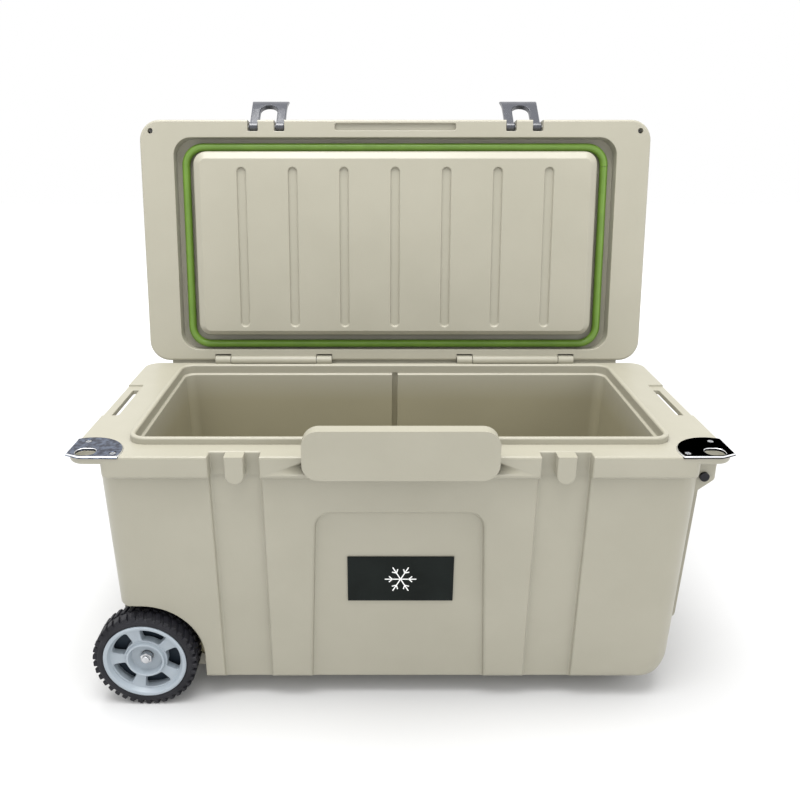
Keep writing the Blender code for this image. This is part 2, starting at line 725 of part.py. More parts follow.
def lid_liner():
    liner = lid_window(0.0, LID_UNDER, 0.0265)
    cut(liner, block((-0.370, 0.031, -0.02), (0.370, 0.3835, GROOVE_TOP), upright=0.028))
    plug = block((-0.338, 0.053, PLUG_LOW), (0.338, 0.3585, GROOVE_TOP + 0.001),
                 shrink=(0.011, 0.0), upright=0.020)
    for vert in plug.data.vertices:
        if vert.co.z < 0:
            vert.co.y += 0.011 if vert.co.y < 0.2 else -0.0045
    join(liner, plug)
    for i in range(7):
        slot = stadium((0.086 * (i - 3), 0.2113), 0.1335, 0.0080)
        cut(liner, flat_slab(slot, -0.03, PLUG_LOW + 0.004))
    cut(liner, block((-0.318, 0.075, -0.001), (0.318, 0.342, 0.05)))
    cut(liner, gasket_loop(GASKET_RADIUS + GAP))
    return liner


def lid_foam():
    foam = cut(lid_core(GAP), lid_window(GAP, -0.02, 0.0265 + GAP))
    return join(foam, block((-0.318 + GAP, 0.075 + GAP, -0.001 + GAP),
                            (0.318 - GAP, 0.342 - GAP, 0.030)))


def latch(side):
    """A latch as it hangs when shut: two legs, an arched bridge and a flared lip."""
    x = side * LATCH_X
    outer = LATCH_LEG_OFFSET + LATCH_LEG_WIDTH / 2
    bridge_low = LATCH_PIVOT_Z - 0.078
    outline = [(x - outer, LATCH_PIVOT_Z), (x - outer, -0.040), (x - outer - 0.0015, bridge_low)]
    outline += [(x + outer + 0.0015, bridge_low), (x + outer, -0.040), (x + outer, LATCH_PIVOT_Z)]
    body = side_slab(outline, 0.0010, 0.0105)
    inner = LATCH_LEG_OFFSET - LATCH_LEG_WIDTH / 2
    window = [(x + inner, 0.05), (x - inner, 0.05)]
    window += arc((x, TAB_LOW + 0.0127), inner, 180, 360, 8)
    cut(body, side_slab(window, -0.02, 0.03))
    lip = block((x - outer - 0.0015, -0.0045, bridge_low), (x + outer + 0.0015, 0.0105, bridge_low + 0.010))
    join(body, lip)
    for leg in (-1, 1):
        middle = x + leg * LATCH_LEG_OFFSET
        join(body, rod("X", (middle, LATCH_PIVOT_Y, LATCH_PIVOT_Z), 0.0075, LATCH_LEG_WIDTH, 16))
    return cut(body, rod("X", (x, LATCH_PIVOT_Y, LATCH_PIVOT_Z), LATCH_PIN_RADIUS + GAP, 0.10, 12))


def latch_pin(side):
    return rod("X", (side * LATCH_X, LATCH_PIVOT_Y, LATCH_PIVOT_Z), LATCH_PIN_RADIUS, 0.074, 16)


# ---- tow handle and drain ------------------------------------------------------
def tow_handle_frame():
    """Two flat arms with eyes at the top, and a round bar between their lower ends."""
    arms = []
    for y in (BRACKET_Y[1] + 0.0068, RIM_DEPTH - BRACKET_Y[1] - 0.0068):
        top = (HANDLE_PIVOT_X, HANDLE_PIVOT_Z)
        low = (HANDLE_GRIP_X, HANDLE_GRIP_Z)
        outline = arc(top, 0.0075, 0, 180, 6) + arc(low, 0.0075, 180, 360, 6)
        arms.append(side_slab(outline, y - 0.005, y + 0.005))
    length = RIM_DEPTH - 2 * BRACKET_Y[1] - 0.012
    bar = rod("Y", (HANDLE_GRIP_X, RIM_DEPTH / 2, HANDLE_GRIP_Z), 0.0060, length, 16)
    frame = join(arms[0], bar, arms[1])
    return cut(frame, handle_bolt_bore())


def tow_handle_grip():
    centre = (HANDLE_GRIP_X, RIM_DEPTH / 2, HANDLE_GRIP_Z)
    return sleeve("Y", centre, 0.0060 + GAP, 0.0115, RIM_DEPTH - 2 * 0.0745, 16)


def handle_bolt(back):
    """A bolt through a bracket and a handle arm, with its head outside."""
    direction = -1 if back else 1
    start = RIM_DEPTH - BRACKET_Y[0] if back else BRACKET_Y[0]
    head = rod("Y", (HANDLE_PIVOT_X, start - direction * 0.0024, HANDLE_PIVOT_Z), 0.0065, 0.0040, 16)
    shank = rod("Y", (HANDLE_PIVOT_X, start + direction * 0.0170, HANDLE_PIVOT_Z),
                HANDLE_BOLT_RADIUS, 0.0360, 16)
    return join(head, shank)


def wall_at_drain():
    return WALL_HALF - END_DRAFT * -DRAIN_Z / TUB_HEIGHT


def drain_fitting():
    """A flanged tube through the tub's end, from the liner to the outside."""
    wall = wall_at_drain()
    flange = rod("X", (wall + 0.0032, DRAIN_Y, DRAIN_Z), 0.0140, 0.0024, 20)
    tube = rod("X", ((0.3470 + wall + 0.003) / 2, DRAIN_Y, DRAIN_Z), 0.0095, wall + 0.003 - 0.3470, 20)
    body = join(flange, tube)
    return cut(body, rod("X", (0.37, DRAIN_Y, DRAIN_Z), 0.0062, 0.20, 16))


def drain_seal():
    wall = wall_at_drain()
    return sleeve("X", (wall + 0.0011, DRAIN_Y, DRAIN_Z), 0.0095 + GAP, 0.0135, 0.0012)


def drain_cap():
    """The cap's plug fills the fitting's bore, and its fluted head covers the flange."""
    wall = wall_at_drain()
    head = rod("X", (wall + 0.0098, DRAIN_Y, DRAIN_Z), 0.0145, 0.0100, 24)
    plug = rod("X", (wall - 0.0040, DRAIN_Y, DRAIN_Z), 0.0062 - GAP, 0.0200, 16)
    cap = join(head, plug)
    for i in range(8):
        angle = 2 * pi * i / 8
        spot = (wall + 0.0110, DRAIN_Y + 0.0155 * cos(angle), DRAIN_Z + 0.0155 * sin(angle))
        cut(cap, rod("X", spot, 0.0026, 0.0090, 8))
    return cap


# ---- assembly ------------------------------------------------------------------
def build():
    plastic = make_material("tan_plastic", TAN, 0.42)
    liner_plastic = make_material("tan_liner_plastic", (0.36, 0.33, 0.24), 0.45)
    foam = make_material("insulating_foam", (0.80, 0.74, 0.52), 0.9)
    steel = make_material("polished_steel", (0.62, 0.62, 0.64), 0.22, 1.0)
    seal_green = make_material("green_seal", (0.16, 0.33, 0.05), 0.5)
    black = make_material("black_latch", (0.03, 0.03, 0.035), 0.45)
    rubber = make_material("black_rubber", (0.015, 0.015, 0.018), 0.75)
    grey = make_material("grey_wheel_plastic", (0.42, 0.50, 0.58), 0.4)
    badge_black = make_material("black_badge", (0.008, 0.012, 0.012), 0.35)

    deliver(tub_shell(), "tub_shell", plastic)
    deliver(tub_liner(), "tub_liner", liner_plastic)
    deliver(tub_foam(), "tub_foam", foam)
    deliver(badge(), "name_plate", badge_black)
    deliver(foot(0.092), "foot_front", rubber)
    deliver(foot(RIM_DEPTH - 0.092), "foot_back", rubber)
    for word, side in (("left", -1), ("right", 1)):
        deliver(corner_plate(side), "corner_plate_" + word, steel)
        for number, spot in enumerate(SCREW_SPOTS, start=1):
            deliver(plate_screw(side, spot), f"plate_screw_{word}_{number}", steel)
        pin = rod("X", (side * 0.212, HINGE_Y, HINGE_Z), HINGE_PIN_RADIUS, 0.202, 16)
        deliver(pin, "hinge_pin_" + word, steel)
        deliver(latch_pin(side), "latch_pin_" + word, steel, "lid")
        deliver(latch(side), "latch_" + word, black, "latch_" + word)
    deliver(axle_rod(), "axle_rod", steel)
    for word, back in (("front", False), ("back", True)):
        deliver(tyre(back), "tyre_" + word, rubber, "wheel_" + word)
        deliver(wheel_rim(back), "wheel_rim_" + word, grey, "wheel_" + word)
        deliver(axle_ring(back, 0.0175, 0.0395, 0.0088), "wheel_bush_" + word, steel, "wheel_" + word)
        deliver(axle_ring(back, 0.0145, 0.0165, 0.0085), "axle_washer_" + word, steel)
        deliver(axle_ring(back, 0.0404, 0.0460, 0.0110), "axle_spacer_" + word, grey)
        deliver(axle_nut(back), "axle_nut_" + word, steel)
        deliver(handle_bolt(back), "handle_bolt_" + word, steel)
    deliver(lid_shell(), "lid_shell", plastic, "lid")
    deliver(lid_liner(), "lid_liner", plastic, "lid")
    deliver(lid_foam(), "lid_foam", foam, "lid")
    deliver(gasket_loop(GASKET_RADIUS), "lid_gasket", seal_green, "lid")
    deliver(tow_handle_frame(), "tow_handle_frame", steel, "tow_handle")
    deliver(tow_handle_grip(), "tow_handle_grip", rubber, "tow_handle")
    deliver(drain_fitting(), "drain_fitting", black)
    deliver(drain_seal(), "drain_seal", rubber)
    deliver(drain_cap(), "drain_cap", black, "drain_cap")


clear_scene()
COOLER = bpy.data.collections.new("wheeled_cooler")
bpy.context.scene.collection.children.link(COOLER)
AXES = make_axes()
build()
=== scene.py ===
# %% [markdown]
# # A wheeled hard cooler
# This lesson dresses a finished engineering model of a cool box. The tub is a
# foam-filled plastic moulding on two wheels, and its lid stands open. Every cell
# below adds one finish or one piece, and says why it is made the way it is.

# %% Load the frame
import json
import bpy
import bmesh
from math import cos, pi, radians, sin
from mathutils import Matrix, Vector


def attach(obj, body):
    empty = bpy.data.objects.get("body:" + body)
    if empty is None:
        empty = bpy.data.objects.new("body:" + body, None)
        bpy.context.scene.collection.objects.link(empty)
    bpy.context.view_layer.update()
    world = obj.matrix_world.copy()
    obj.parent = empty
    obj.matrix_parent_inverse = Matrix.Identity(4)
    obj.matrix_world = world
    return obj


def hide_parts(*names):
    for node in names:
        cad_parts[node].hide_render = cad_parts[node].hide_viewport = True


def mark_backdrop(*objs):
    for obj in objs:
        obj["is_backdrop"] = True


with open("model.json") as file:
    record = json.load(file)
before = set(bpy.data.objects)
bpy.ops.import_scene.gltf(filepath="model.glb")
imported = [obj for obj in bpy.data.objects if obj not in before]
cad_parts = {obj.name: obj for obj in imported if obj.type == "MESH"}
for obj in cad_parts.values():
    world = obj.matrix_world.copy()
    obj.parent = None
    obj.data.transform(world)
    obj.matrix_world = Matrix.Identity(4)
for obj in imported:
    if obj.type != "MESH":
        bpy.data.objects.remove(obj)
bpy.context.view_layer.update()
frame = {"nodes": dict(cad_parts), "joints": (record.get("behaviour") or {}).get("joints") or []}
nodes = frame["nodes"]

# %% [markdown]
# ## Camera
# The camera stands in front of the cooler, a little left of its middle, and looks
# down by about twenty degrees. A small sideways shift frames the cooler without
# turning the camera, so the front wall stays square to the view.

# %% Set up the camera
lens = bpy.data.cameras.new("camera")
lens.lens = 36.04
lens.sensor_width = 36.0
lens.shift_x = 0.0281
lens.shift_y = -0.0024
lens.clip_start = 0.05
camera = bpy.data.objects.new("camera", lens)
camera.location = (-0.0282, -1.2212, 0.8263)
camera.rotation_euler = (radians(90.0 - 20.133), 0.0, 0.0)
bpy.context.scene.collection.objects.link(camera)
bpy.context.scene.camera = camera
print("camera at", tuple(round(v, 3) for v in camera.location))

# %% [markdown]
# ## Room and light
# A product table is white, and its light comes from wide soft sources: one large
# panel high on the left, a stronger one on the right, and a much stronger one
# overhead. The world is plain white, and fills the shadows.

# %% Floor
TABLE_HALF = 6.0


def make_floor():
    bm = bmesh.new()
    bmesh.ops.create_grid(bm, x_segments=4, y_segments=4, size=TABLE_HALF)
    mesh = bpy.data.meshes.new("table_top")
    bm.to_mesh(mesh)
    bm.free()
    floor = bpy.data.objects.new("table_top", mesh)
    bpy.context.scene.collection.objects.link(floor)
    paint = bpy.data.materials.new("table_white")
    paint.use_nodes = True
    tree = paint.node_tree
    shader = tree.nodes["Principled BSDF"]
    shader.inputs["Roughness"].default_value = 0.8
    place = tree.nodes.new("ShaderNodeTexCoord").outputs["Object"]
    reach = tree.nodes.new("ShaderNodeVectorMath")
    reach.operation = "LENGTH"
    tree.links.new(place, reach.inputs[0])
    fade = tree.nodes.new("ShaderNodeValToRGB")
    fade.color_ramp.elements[0].position = 0.12
    fade.color_ramp.elements[0].color = (0.60, 0.60, 0.60, 1.0)
    fade.color_ramp.elements[1].position = 0.40
    fade.color_ramp.elements[1].color = (0.98, 0.98, 0.98, 1.0)
    span = tree.nodes.new("ShaderNodeMath")
    span.operation = "DIVIDE"
    span.inputs[1].default_value = TABLE_HALF
    tree.links.new(reach.outputs["Value"], span.inputs[0])
    tree.links.new(span.outputs["Value"], fade.inputs["Fac"])
    tree.links.new(fade.outputs["Color"], shader.inputs["Base Color"])
    mesh.materials.append(paint)
    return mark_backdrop(floor)


floor = make_floor()

# %% Lights


def add_panel(name, spot, aim, size, power):
    """A square area light that faces a point."""
    lamp = bpy.data.lights.new(name, "AREA")
    lamp.size = size
    lamp.energy = power
    panel = bpy.data.objects.new(name, lamp)
    panel.location = spot
    panel.rotation_euler = (Vector(aim) - Vector(spot)).to_track_quat("-Z", "Y").to_euler()
    bpy.context.scene.collection.objects.link(panel)
    return panel


MIDDLE = Vector((0.0, 0.0, 0.4))
add_panel("key_panel", (-2.0, -2.4, 2.6), MIDDLE, 2.2, 12.0)
add_panel("fill_panel", (2.6, -2.0, 1.6), MIDDLE, 2.4, 20.0)
add_panel("top_panel", (-0.2, -0.4, 3.2), MIDDLE, 2.2, 120.0)

world = bpy.data.worlds.new("white_room")
bpy.context.scene.world = world
world.use_nodes = True
world.node_tree.nodes["Background"].inputs["Color"].default_value = (1.0, 1.0, 1.0, 1.0)
world.node_tree.nodes["Background"].inputs["Strength"].default_value = 1.0
bpy.context.scene.view_settings.view_transform = "Standard"
print("three panels and a white room")

# %% [markdown]
# ## Finishes
# The tub is rotationally moulded polyethylene. Its colour wanders by a few
# percent, its surface has a faint orange peel, and its gloss is uneven. One node
# group makes those three effects, so each plastic can take its own amounts.

# %% A node group for moulded surfaces


def new_group(name, inputs, outputs):
    """A shader node group with named sockets. Each one is (name, socket type, default)."""
    group = bpy.data.node_groups.new(name, "ShaderNodeTree")
    for label, kind, value in inputs:
        socket = group.interface.new_socket(name=label, in_out="INPUT", socket_type=kind)
        socket.default_value = value
    for label, kind in outputs:
        group.interface.new_socket(name=label, in_out="OUTPUT", socket_type=kind)
    return group, group.nodes.new("NodeGroupInput"), group.nodes.new("NodeGroupOutput")


def add_noise(tree, vector, scale, detail=3.0, roughness=0.5):
    noise = tree.nodes.new("ShaderNodeTexNoise")
    noise.inputs["Scale"].default_value = scale
    noise.inputs["Detail"].default_value = detail
    noise.inputs["Roughness"].default_value = roughness
    tree.links.new(vector, noise.inputs["Vector"])
    return noise.outputs["Fac"]


def add_math(tree, operation, first, second):
    node = tree.nodes.new("ShaderNodeMath")
    node.operation = operation
    for socket, value in zip(node.inputs, (first, second)):
        if isinstance(value, (int, float)):
            socket.default_value = value
        else:
            tree.links.new(value, socket)
    return node.outputs["Value"]


def add_range(tree, value, low, high, new_low, new_high):
    node = tree.nodes.new("ShaderNodeMapRange")
    node.inputs["From Min"].default_value = low
    node.inputs["From Max"].default_value = high
    for label, bound in (("To Min", new_low), ("To Max", new_high)):
        if isinstance(bound, (int, float)):
            node.inputs[label].default_value = bound
        else:
            tree.links.new(bound, node.inputs[label])
    tree.links.new(value, node.inputs["Value"])
    return node.outputs["Result"]


def make_moulded_group():
    group, given, made = new_group(
        "moulded_surface",
        (("Colour", "NodeSocketColor", (0.5, 0.5, 0.5, 1.0)),
         ("Shade", "NodeSocketColor", (0.4, 0.4, 0.4, 1.0)),
         ("Cloud Scale", "NodeSocketFloat", 9.0),
         ("Peel Scale", "NodeSocketFloat", 420.0),
         ("Gloss Low", "NodeSocketFloat", 0.34),
         ("Gloss High", "NodeSocketFloat", 0.44)),
        (("Colour", "NodeSocketColor"), ("Roughness", "NodeSocketFloat"), ("Height", "NodeSocketFloat")))
    place = group.nodes.new("ShaderNodeTexCoord").outputs["Object"]
    cloud = add_noise(group, place, 9.0)
    group.links.new(given.outputs["Cloud Scale"], cloud.node.inputs["Scale"])
    peel = add_noise(group, place, 420.0, 2.0)
    group.links.new(given.outputs["Peel Scale"], peel.node.inputs["Scale"])
    speck = add_noise(group, place, 2600.0, 2.0)
    mix = group.nodes.new("ShaderNodeMix")
    mix.data_type = "RGBA"
    group.links.new(add_range(group, cloud, 0.35, 0.65, 0.0, 1.0), mix.inputs["Factor"])
    group.links.new(given.outputs["Colour"], mix.inputs["A"])
    group.links.new(given.outputs["Shade"], mix.inputs["B"])
    group.links.new(mix.outputs["Result"], made.inputs["Colour"])
    gloss = add_range(group, cloud, 0.3, 0.7, given.outputs["Gloss Low"], given.outputs["Gloss High"])
    group.links.new(gloss, made.inputs["Roughness"])
    height = add_math(group, "ADD", peel, add_math(group, "MULTIPLY", speck, 0.35))
    group.links.new(height, made.inputs["Height"])
    return group


moulded_surface = make_moulded_group()
print("node group", moulded_surface.name)

# %% [markdown]
# A helper makes a material from that group. The group puts out a colour, a
# roughness and a height, and the Principled shader stays in the material.

# %% Moulded plastics and rubbers


def moulded(name, colour, shade, gloss, cloud=9.0, peel=420.0, bump=0.0003, shine=0.5):
    material = bpy.data.materials.new(name)
    material.use_nodes = True
    tree = material.node_tree
    shader = tree.nodes["Principled BSDF"]
    surface = tree.nodes.new("ShaderNodeGroup")
    surface.node_tree = moulded_surface
    surface.inputs["Colour"].default_value = (*colour, 1.0)
    surface.inputs["Shade"].default_value = (*shade, 1.0)
    surface.inputs["Cloud Scale"].default_value = cloud
    surface.inputs["Peel Scale"].default_value = peel
    surface.inputs["Gloss Low"].default_value = gloss[0]
    surface.inputs["Gloss High"].default_value = gloss[1]
    tree.links.new(surface.outputs["Colour"], shader.inputs["Base Color"])
    tree.links.new(surface.outputs["Roughness"], shader.inputs["Roughness"])
    relief = tree.nodes.new("ShaderNodeBump")
    relief.inputs["Distance"].default_value = bump
    relief.inputs["Strength"].default_value = 0.35
    tree.links.new(surface.outputs["Height"], relief.inputs["Height"])
    tree.links.new(relief.outputs["Normal"], shader.inputs["Normal"])
    shader.inputs["Specular IOR Level"].default_value = shine
    return material


tan = moulded("tan_polyethylene", (0.336, 0.320, 0.256), (0.320, 0.305, 0.242), (0.33, 0.42))
# The liner's darker, more olive colour is painted shade for the inside of the tub.
inner_tan_painted_shade = moulded("inner_polyethylene_painted_shade", (0.290, 0.266, 0.180), (0.274, 0.251, 0.168), (0.36, 0.46))
seal_green = moulded("green_silicone", (0.120, 0.225, 0.026), (0.105, 0.200, 0.022), (0.28, 0.36), 40.0)
latch_rubber = moulded("latch_rubber", (0.030, 0.033, 0.045), (0.018, 0.021, 0.031), (0.18, 0.30), 30.0, shine=1.0)
tyre_rubber = moulded("tyre_rubber", (0.012, 0.012, 0.016), (0.007, 0.007, 0.010), (0.45, 0.62), 30.0, 700.0, shine=0.3)
plain_rubber = moulded("plain_rubber", (0.018, 0.018, 0.019), (0.013, 0.013, 0.014), (0.55, 0.7), 30.0)
wheel_grey = moulded("wheel_grey_plastic", (0.345, 0.390, 0.430), (0.315, 0.360, 0.400), (0.30, 0.40), 20.0)
black_plastic = moulded("black_plastic", (0.014, 0.015, 0.016), (0.010, 0.011, 0.012), (0.32, 0.42), 20.0)
plate_black = moulded("plate_black", (0.007, 0.010, 0.009), (0.005, 0.007, 0.006), (0.50, 0.60), 20.0, shine=0.12)
# Painted shade: a dark blue for the disc that darkens the wheel's windows and hub recess.
painted_shade_blue = moulded("painted_shade_blue", (0.022, 0.032, 0.045), (0.016, 0.024, 0.035), (0.45, 0.60), 30.0, shine=0.2)
mark_white = moulded("mark_white", (0.90, 0.91, 0.90), (0.86, 0.87, 0.86), (0.40, 0.50), 40.0)
foam_cream = moulded("foam_cream", (0.72, 0.66, 0.44), (0.66, 0.60, 0.38), (0.85, 0.95), 60.0, 1500.0, 0.0008)
print("moulded finishes ready")

# %% Metals


def metal(name, colour, gloss, streak=1.0, smudge_and_reflection_scale=40.0, cloud=None):
    """Worn steel: fine drawn lines, and smudges that change its colour and gloss. On the corner plates the two colours
    are painted reflections.
    """
    material = bpy.data.materials.new(name)
    material.use_nodes = True
    tree = material.node_tree
    shader = tree.nodes["Principled BSDF"]
    shader.inputs["Metallic"].default_value = 1.0
    place = tree.nodes.new("ShaderNodeTexCoord").outputs["Object"]
    stretch = tree.nodes.new("ShaderNodeMapping")
    stretch.inputs["Scale"].default_value = (1.0, 30.0, 30.0)
    tree.links.new(place, stretch.inputs["Vector"])
    lines = add_noise(tree, stretch.outputs["Vector"], 60.0, 2.0)
    smudges_and_reflections = add_noise(tree, place, smudge_and_reflection_scale, 3.0)
    mix = tree.nodes.new("ShaderNodeMix")
    mix.data_type = "RGBA"
    mix.inputs["A"].default_value = (*colour, 1.0)
    mix.inputs["B"].default_value = (*(cloud or [0.8 * c for c in colour]), 1.0)
    tree.links.new(add_range(tree, smudges_and_reflections, 0.4, 0.6, 0.0, 1.0), mix.inputs["Factor"])
    tree.links.new(mix.outputs["Result"], shader.inputs["Base Color"])
    tree.links.new(add_range(tree, smudges_and_reflections, 0.3, 0.7, gloss[0], gloss[1]), shader.inputs["Roughness"])
    relief = tree.nodes.new("ShaderNodeBump")
    relief.inputs["Distance"].default_value = 0.0001 * streak
    relief.inputs["Strength"].default_value = 0.3
    tree.links.new(lines, relief.inputs["Height"])
    tree.links.new(relief.outputs["Normal"], shader.inputs["Normal"])
    return material


def fade_down(material, top, level_low, level_high):
    """Lets a moulded colour run into another one towards the top of the tub. On the liner this is painted shade: darker
    lower down, and tan at the rim.
    """
    tree = material.node_tree
    shader = tree.nodes["Principled BSDF"]
    below = shader.inputs["Base Color"].links[0].from_socket
    height = tree.nodes.new("ShaderNodeSeparateXYZ")
    tree.links.new(tree.nodes.new("ShaderNodeTexCoord").outputs["Object"], height.inputs["Vector"])
    mix = tree.nodes.new("ShaderNodeMix")
    mix.data_type = "RGBA"
    tree.links.new(add_range(tree, height.outputs["Z"], level_low, level_high, 0.0, 1.0), mix.inputs["Factor"])
    tree.links.new(below, mix.inputs["A"])
    mix.inputs["B"].default_value = (*top, 1.0)
    tree.links.new(mix.outputs["Result"], shader.inputs["Base Color"])


# Painted shade: the liner keeps its darker colour low down and turns tan towards its top.
fade_down(inner_tan_painted_shade, (0.330, 0.314, 0.250), 0.345, 0.392)
bright_steel = metal("bright_steel", (0.60, 0.61, 0.63), (0.10, 0.22))
zinc = metal("zinc_steel", (0.52, 0.53, 0.54), (0.25, 0.38))
# Painted highlight: a far brighter steel for the white that the plates' polished chamfers reflect.
painted_highlight_edge = metal("painted_highlight_edge", (0.92, 0.93, 0.95), (0.30, 0.42))
# Painted reflection: a near-black steel for the dark surroundings that the right plate's polished face reflects.
painted_dark_reflection_steel = metal("steel_with_painted_dark_reflection", (0.010, 0.009, 0.014), (0.06, 0.18), 2.0, 130.0, (0.026, 0.024, 0.030))
painted_dark_reflection_steel.node_tree.nodes["Principled BSDF"].inputs["Specular Tint"].default_value = (0.08, 0.08, 0.10, 1.0)
dark_steel = metal("dark_steel", (0.035, 0.035, 0.038), (0.30, 0.45))
coated_steel = moulded("coated_steel", (0.330, 0.314, 0.250), (0.312, 0.297, 0.236), (0.42, 0.55))
# Painted reflection: blue blotches for what the left plate's polished face reflects.
painted_blue_reflection_steel = metal("steel_with_painted_blue_reflection", (0.030, 0.036, 0.062), (0.06, 0.20), 2.0, 130.0, (0.15, 0.18, 0.25))
print("metal finishes ready")

# %% [markdown]
# ## Places and frames
# The tub is drawn in its rim frame: X runs along the tub, Y runs back from the
# front edge of the rim, and Z is measured from the rim's flat top. The lid is drawn
# as if it were shut, and is then turned about its hinge. Each latch is turned once
# more about its own pin. The hinge's place comes from the model, so nothing drifts.

# %% Frames for the tub, the lid and the latches
HINGE = Vector((0.0, 0.405, 0.004))
LATCH_PIN = Vector((0.0, 0.010, 0.0185))
joint_at = {joint["name"]: Vector(joint["pos_m"]) for joint in frame["joints"]}


def swing(pivot, degrees):
    """A turn about a line along X, through a point."""
    return Matrix.Translation(pivot) @ Matrix.Rotation(radians(degrees), 4, "X") @ Matrix.Translation(-pivot)


hinge_place = joint_at["lid_hinge"]
TUB = Matrix.Translation((joint_at["tow_handle_pivot"].x - 0.411, hinge_place.y - HINGE.y, hinge_place.z - HINGE.z))
LID = TUB @ swing(HINGE, -99.5)
LATCH = LID @ swing(LATCH_PIN, -135.0)
print("the tub's rim frame starts at", tuple(round(v, 4) for v in TUB.translation))

# %% [markdown]
# ## Stacked rings
# Each moulded piece is a stack of rounded rectangles. A ring starts as a circle
# whose quarters are pulled apart, so every ring has the same count of vertices and
# can be bridged to the next. The rings follow a section line with rounded corners,
# and that is what gives the plastic its soft edges.

# %% Section lines and stacks


def rounded_path(points, steps=5):
    """A section line of (across, height) points. A third number rounds that corner."""
    path = []
    for i, point in enumerate(points):
        here = Vector(point[:2])
        if len(point) < 3:
            path.append(tuple(here))
            continue
        to_last = (Vector(points[i - 1][:2]) - here).normalized()
        to_next = (Vector(points[(i + 1) % len(points)][:2]) - here).normalized()
        half = to_last.angle(to_next) / 2.0
        centre = here + (to_last + to_next).normalized() * (point[2] / sin(half))
        reach = point[2] * cos(half) / sin(half)
        start = here + to_last * reach - centre
        end = here + to_next * reach - centre
        path += [tuple(centre + start.slerp(end, k / steps) * point[2]) for k in range(steps + 1)]
    return path


def add_ring(bm, half_x, half_y, corner, height, centre=(0.0, 0.0), quarter=8):
    """A circle of vertices, pulled apart into a rounded rectangle. Returns its edges."""
    made = bmesh.ops.create_circle(bm, segments=4 * quarter, radius=1.0)
    for k, vert in enumerate(made["verts"]):
        turn = pi / 2 * (k // quarter + (k % quarter) / (quarter - 1))
        side_x = 1 if k // quarter in (0, 3) else -1
        side_y = 1 if k // quarter in (0, 1) else -1
        vert.co.x = centre[0] + side_x * (half_x - corner) + corner * cos(turn)
        vert.co.y = centre[1] + side_y * (half_y - corner) + corner * sin(turn)
        vert.co.z = height
    return list({edge for vert in made["verts"] for edge in vert.link_edges})


def bridged(bm, loops, place, closed):
    """Joins loops of edges into one skin, and sets it in its place."""
    for low, high in zip(loops, loops[1:] + (loops[:1] if closed else [])):
        bmesh.ops.bridge_loops(bm, edges=low + high)
    if not closed:
        bmesh.ops.edgeloop_fill(bm, edges=loops[0])
        bmesh.ops.edgeloop_fill(bm, edges=loops[-1])
    bmesh.ops.recalc_face_normals(bm, faces=bm.faces)
    bm.transform(place)
    if place.determinant() < 0.0:
        bmesh.ops.reverse_faces(bm, faces=bm.faces)
    return bm


def stack(rings, place=Matrix(), closed=False, quarter=8):
    """One skin through all the rings: (half_x, half_y, corner, height, centre)."""
    bm = bmesh.new()
    return bridged(bm, [add_ring(bm, *ring, quarter=quarter) for ring in rings], place, closed)


def rings_round(low, high, corner, path, rates=(1.0, 1.0, 1.0), least=0.0002):
    """Rings round one rectangle, which follow a path of (outward offset, height).

    rates scale the offset for the two ends, the low side and the high side."""
    rings = []
    for out, height in path:
        y_low, y_high = low[1] - out * rates[1], high[1] + out * rates[2]
        half_x = (high[0] - low[0]) / 2 + out * rates[0]
        rings.append((half_x, (y_high - y_low) / 2, max(corner + out, least), height,
                      ((low[0] + high[0]) / 2, (y_low + y_high) / 2)))
    return rings


def turned(profile, place=Matrix(), closed=True, sides=64):
    """A section of (radius, height) turned about Z, as a stack of circles."""
    bm = bmesh.new()
    loops = []
    for radius, height in profile:
        made = bmesh.ops.create_circle(bm, segments=sides, radius=radius,
                                       matrix=Matrix.Translation((0.0, 0.0, height)))
        loops.append(list({edge for vert in made["verts"] for edge in vert.link_edges}))
    return bridged(bm, loops, place, closed)


# A pocket is drawn flat and looking up. Its drawing axes become these on the tub:
# X and Y for up and down, X and Z for front and back, Y and Z for left and right.
FACING = {
    "up": Matrix.Identity(4),
    "down": Matrix.Diagonal((1.0, 1.0, -1.0, 1.0)),
    "front": Matrix(((1, 0, 0, 0), (0, 0, -1, 0), (0, 1, 0, 0), (0, 0, 0, 1))),
    "back": Matrix(((1, 0, 0, 0), (0, 0, 1, 0), (0, 1, 0, 0), (0, 0, 0, 1))),
    "left": Matrix(((0, 0, -1, 0), (1, 0, 0, 0), (0, 1, 0, 0), (0, 0, 0, 1))),
    "right": Matrix(((0, 0, 1, 0), (1, 0, 0, 0), (0, 1, 0, 0), (0, 0, 0, 1))),
}


def facing(way, surface):
    """The place of a drawing that lies on a surface and looks one way."""
    place = FACING[way].copy()
    axis = place.col[2].to_3d()
    place.translation = axis * surface * (axis.x + axis.y + axis.z)
    return place


def flared_path(depth, flare, floor, inset):
    """The section of a pocket whose mouth flares out by a quarter circle."""
    path = rounded_path([(-inset, -depth), (0.0, -depth, floor), (0.0, -flare)], 4)
    for k in range(1, 6):
        turn = pi / 2 * k / 5
        path.append((flare * (1 - cos(turn)), -flare + flare * sin(turn)))
    return path + [(flare, 0.02)]


def pocket(way, surface, low, high, corner, depth, flare=0.0015, floor=0.0015, quarter=6):
    """A cutter for a pocket with a soft mouth and a rounded floor."""
    path = flared_path(depth, flare, floor, max(0.4 * corner, floor * 1.2))
    return stack(rings_round(low, high, corner, path), facing(way, surface), quarter=quarter)


def pad(way, surface, low, high, corner, height, rounding=0.0015, root=0.005, quarter=6):
    """A raised pad with eased edges, which starts a little below the surface."""
    path = rounded_path([(0.0, -root), (0.0, height, rounding), (-1.2 * rounding, height)], 4)
    return stack(rings_round(low, high, corner, path), facing(way, surface), quarter=quarter)


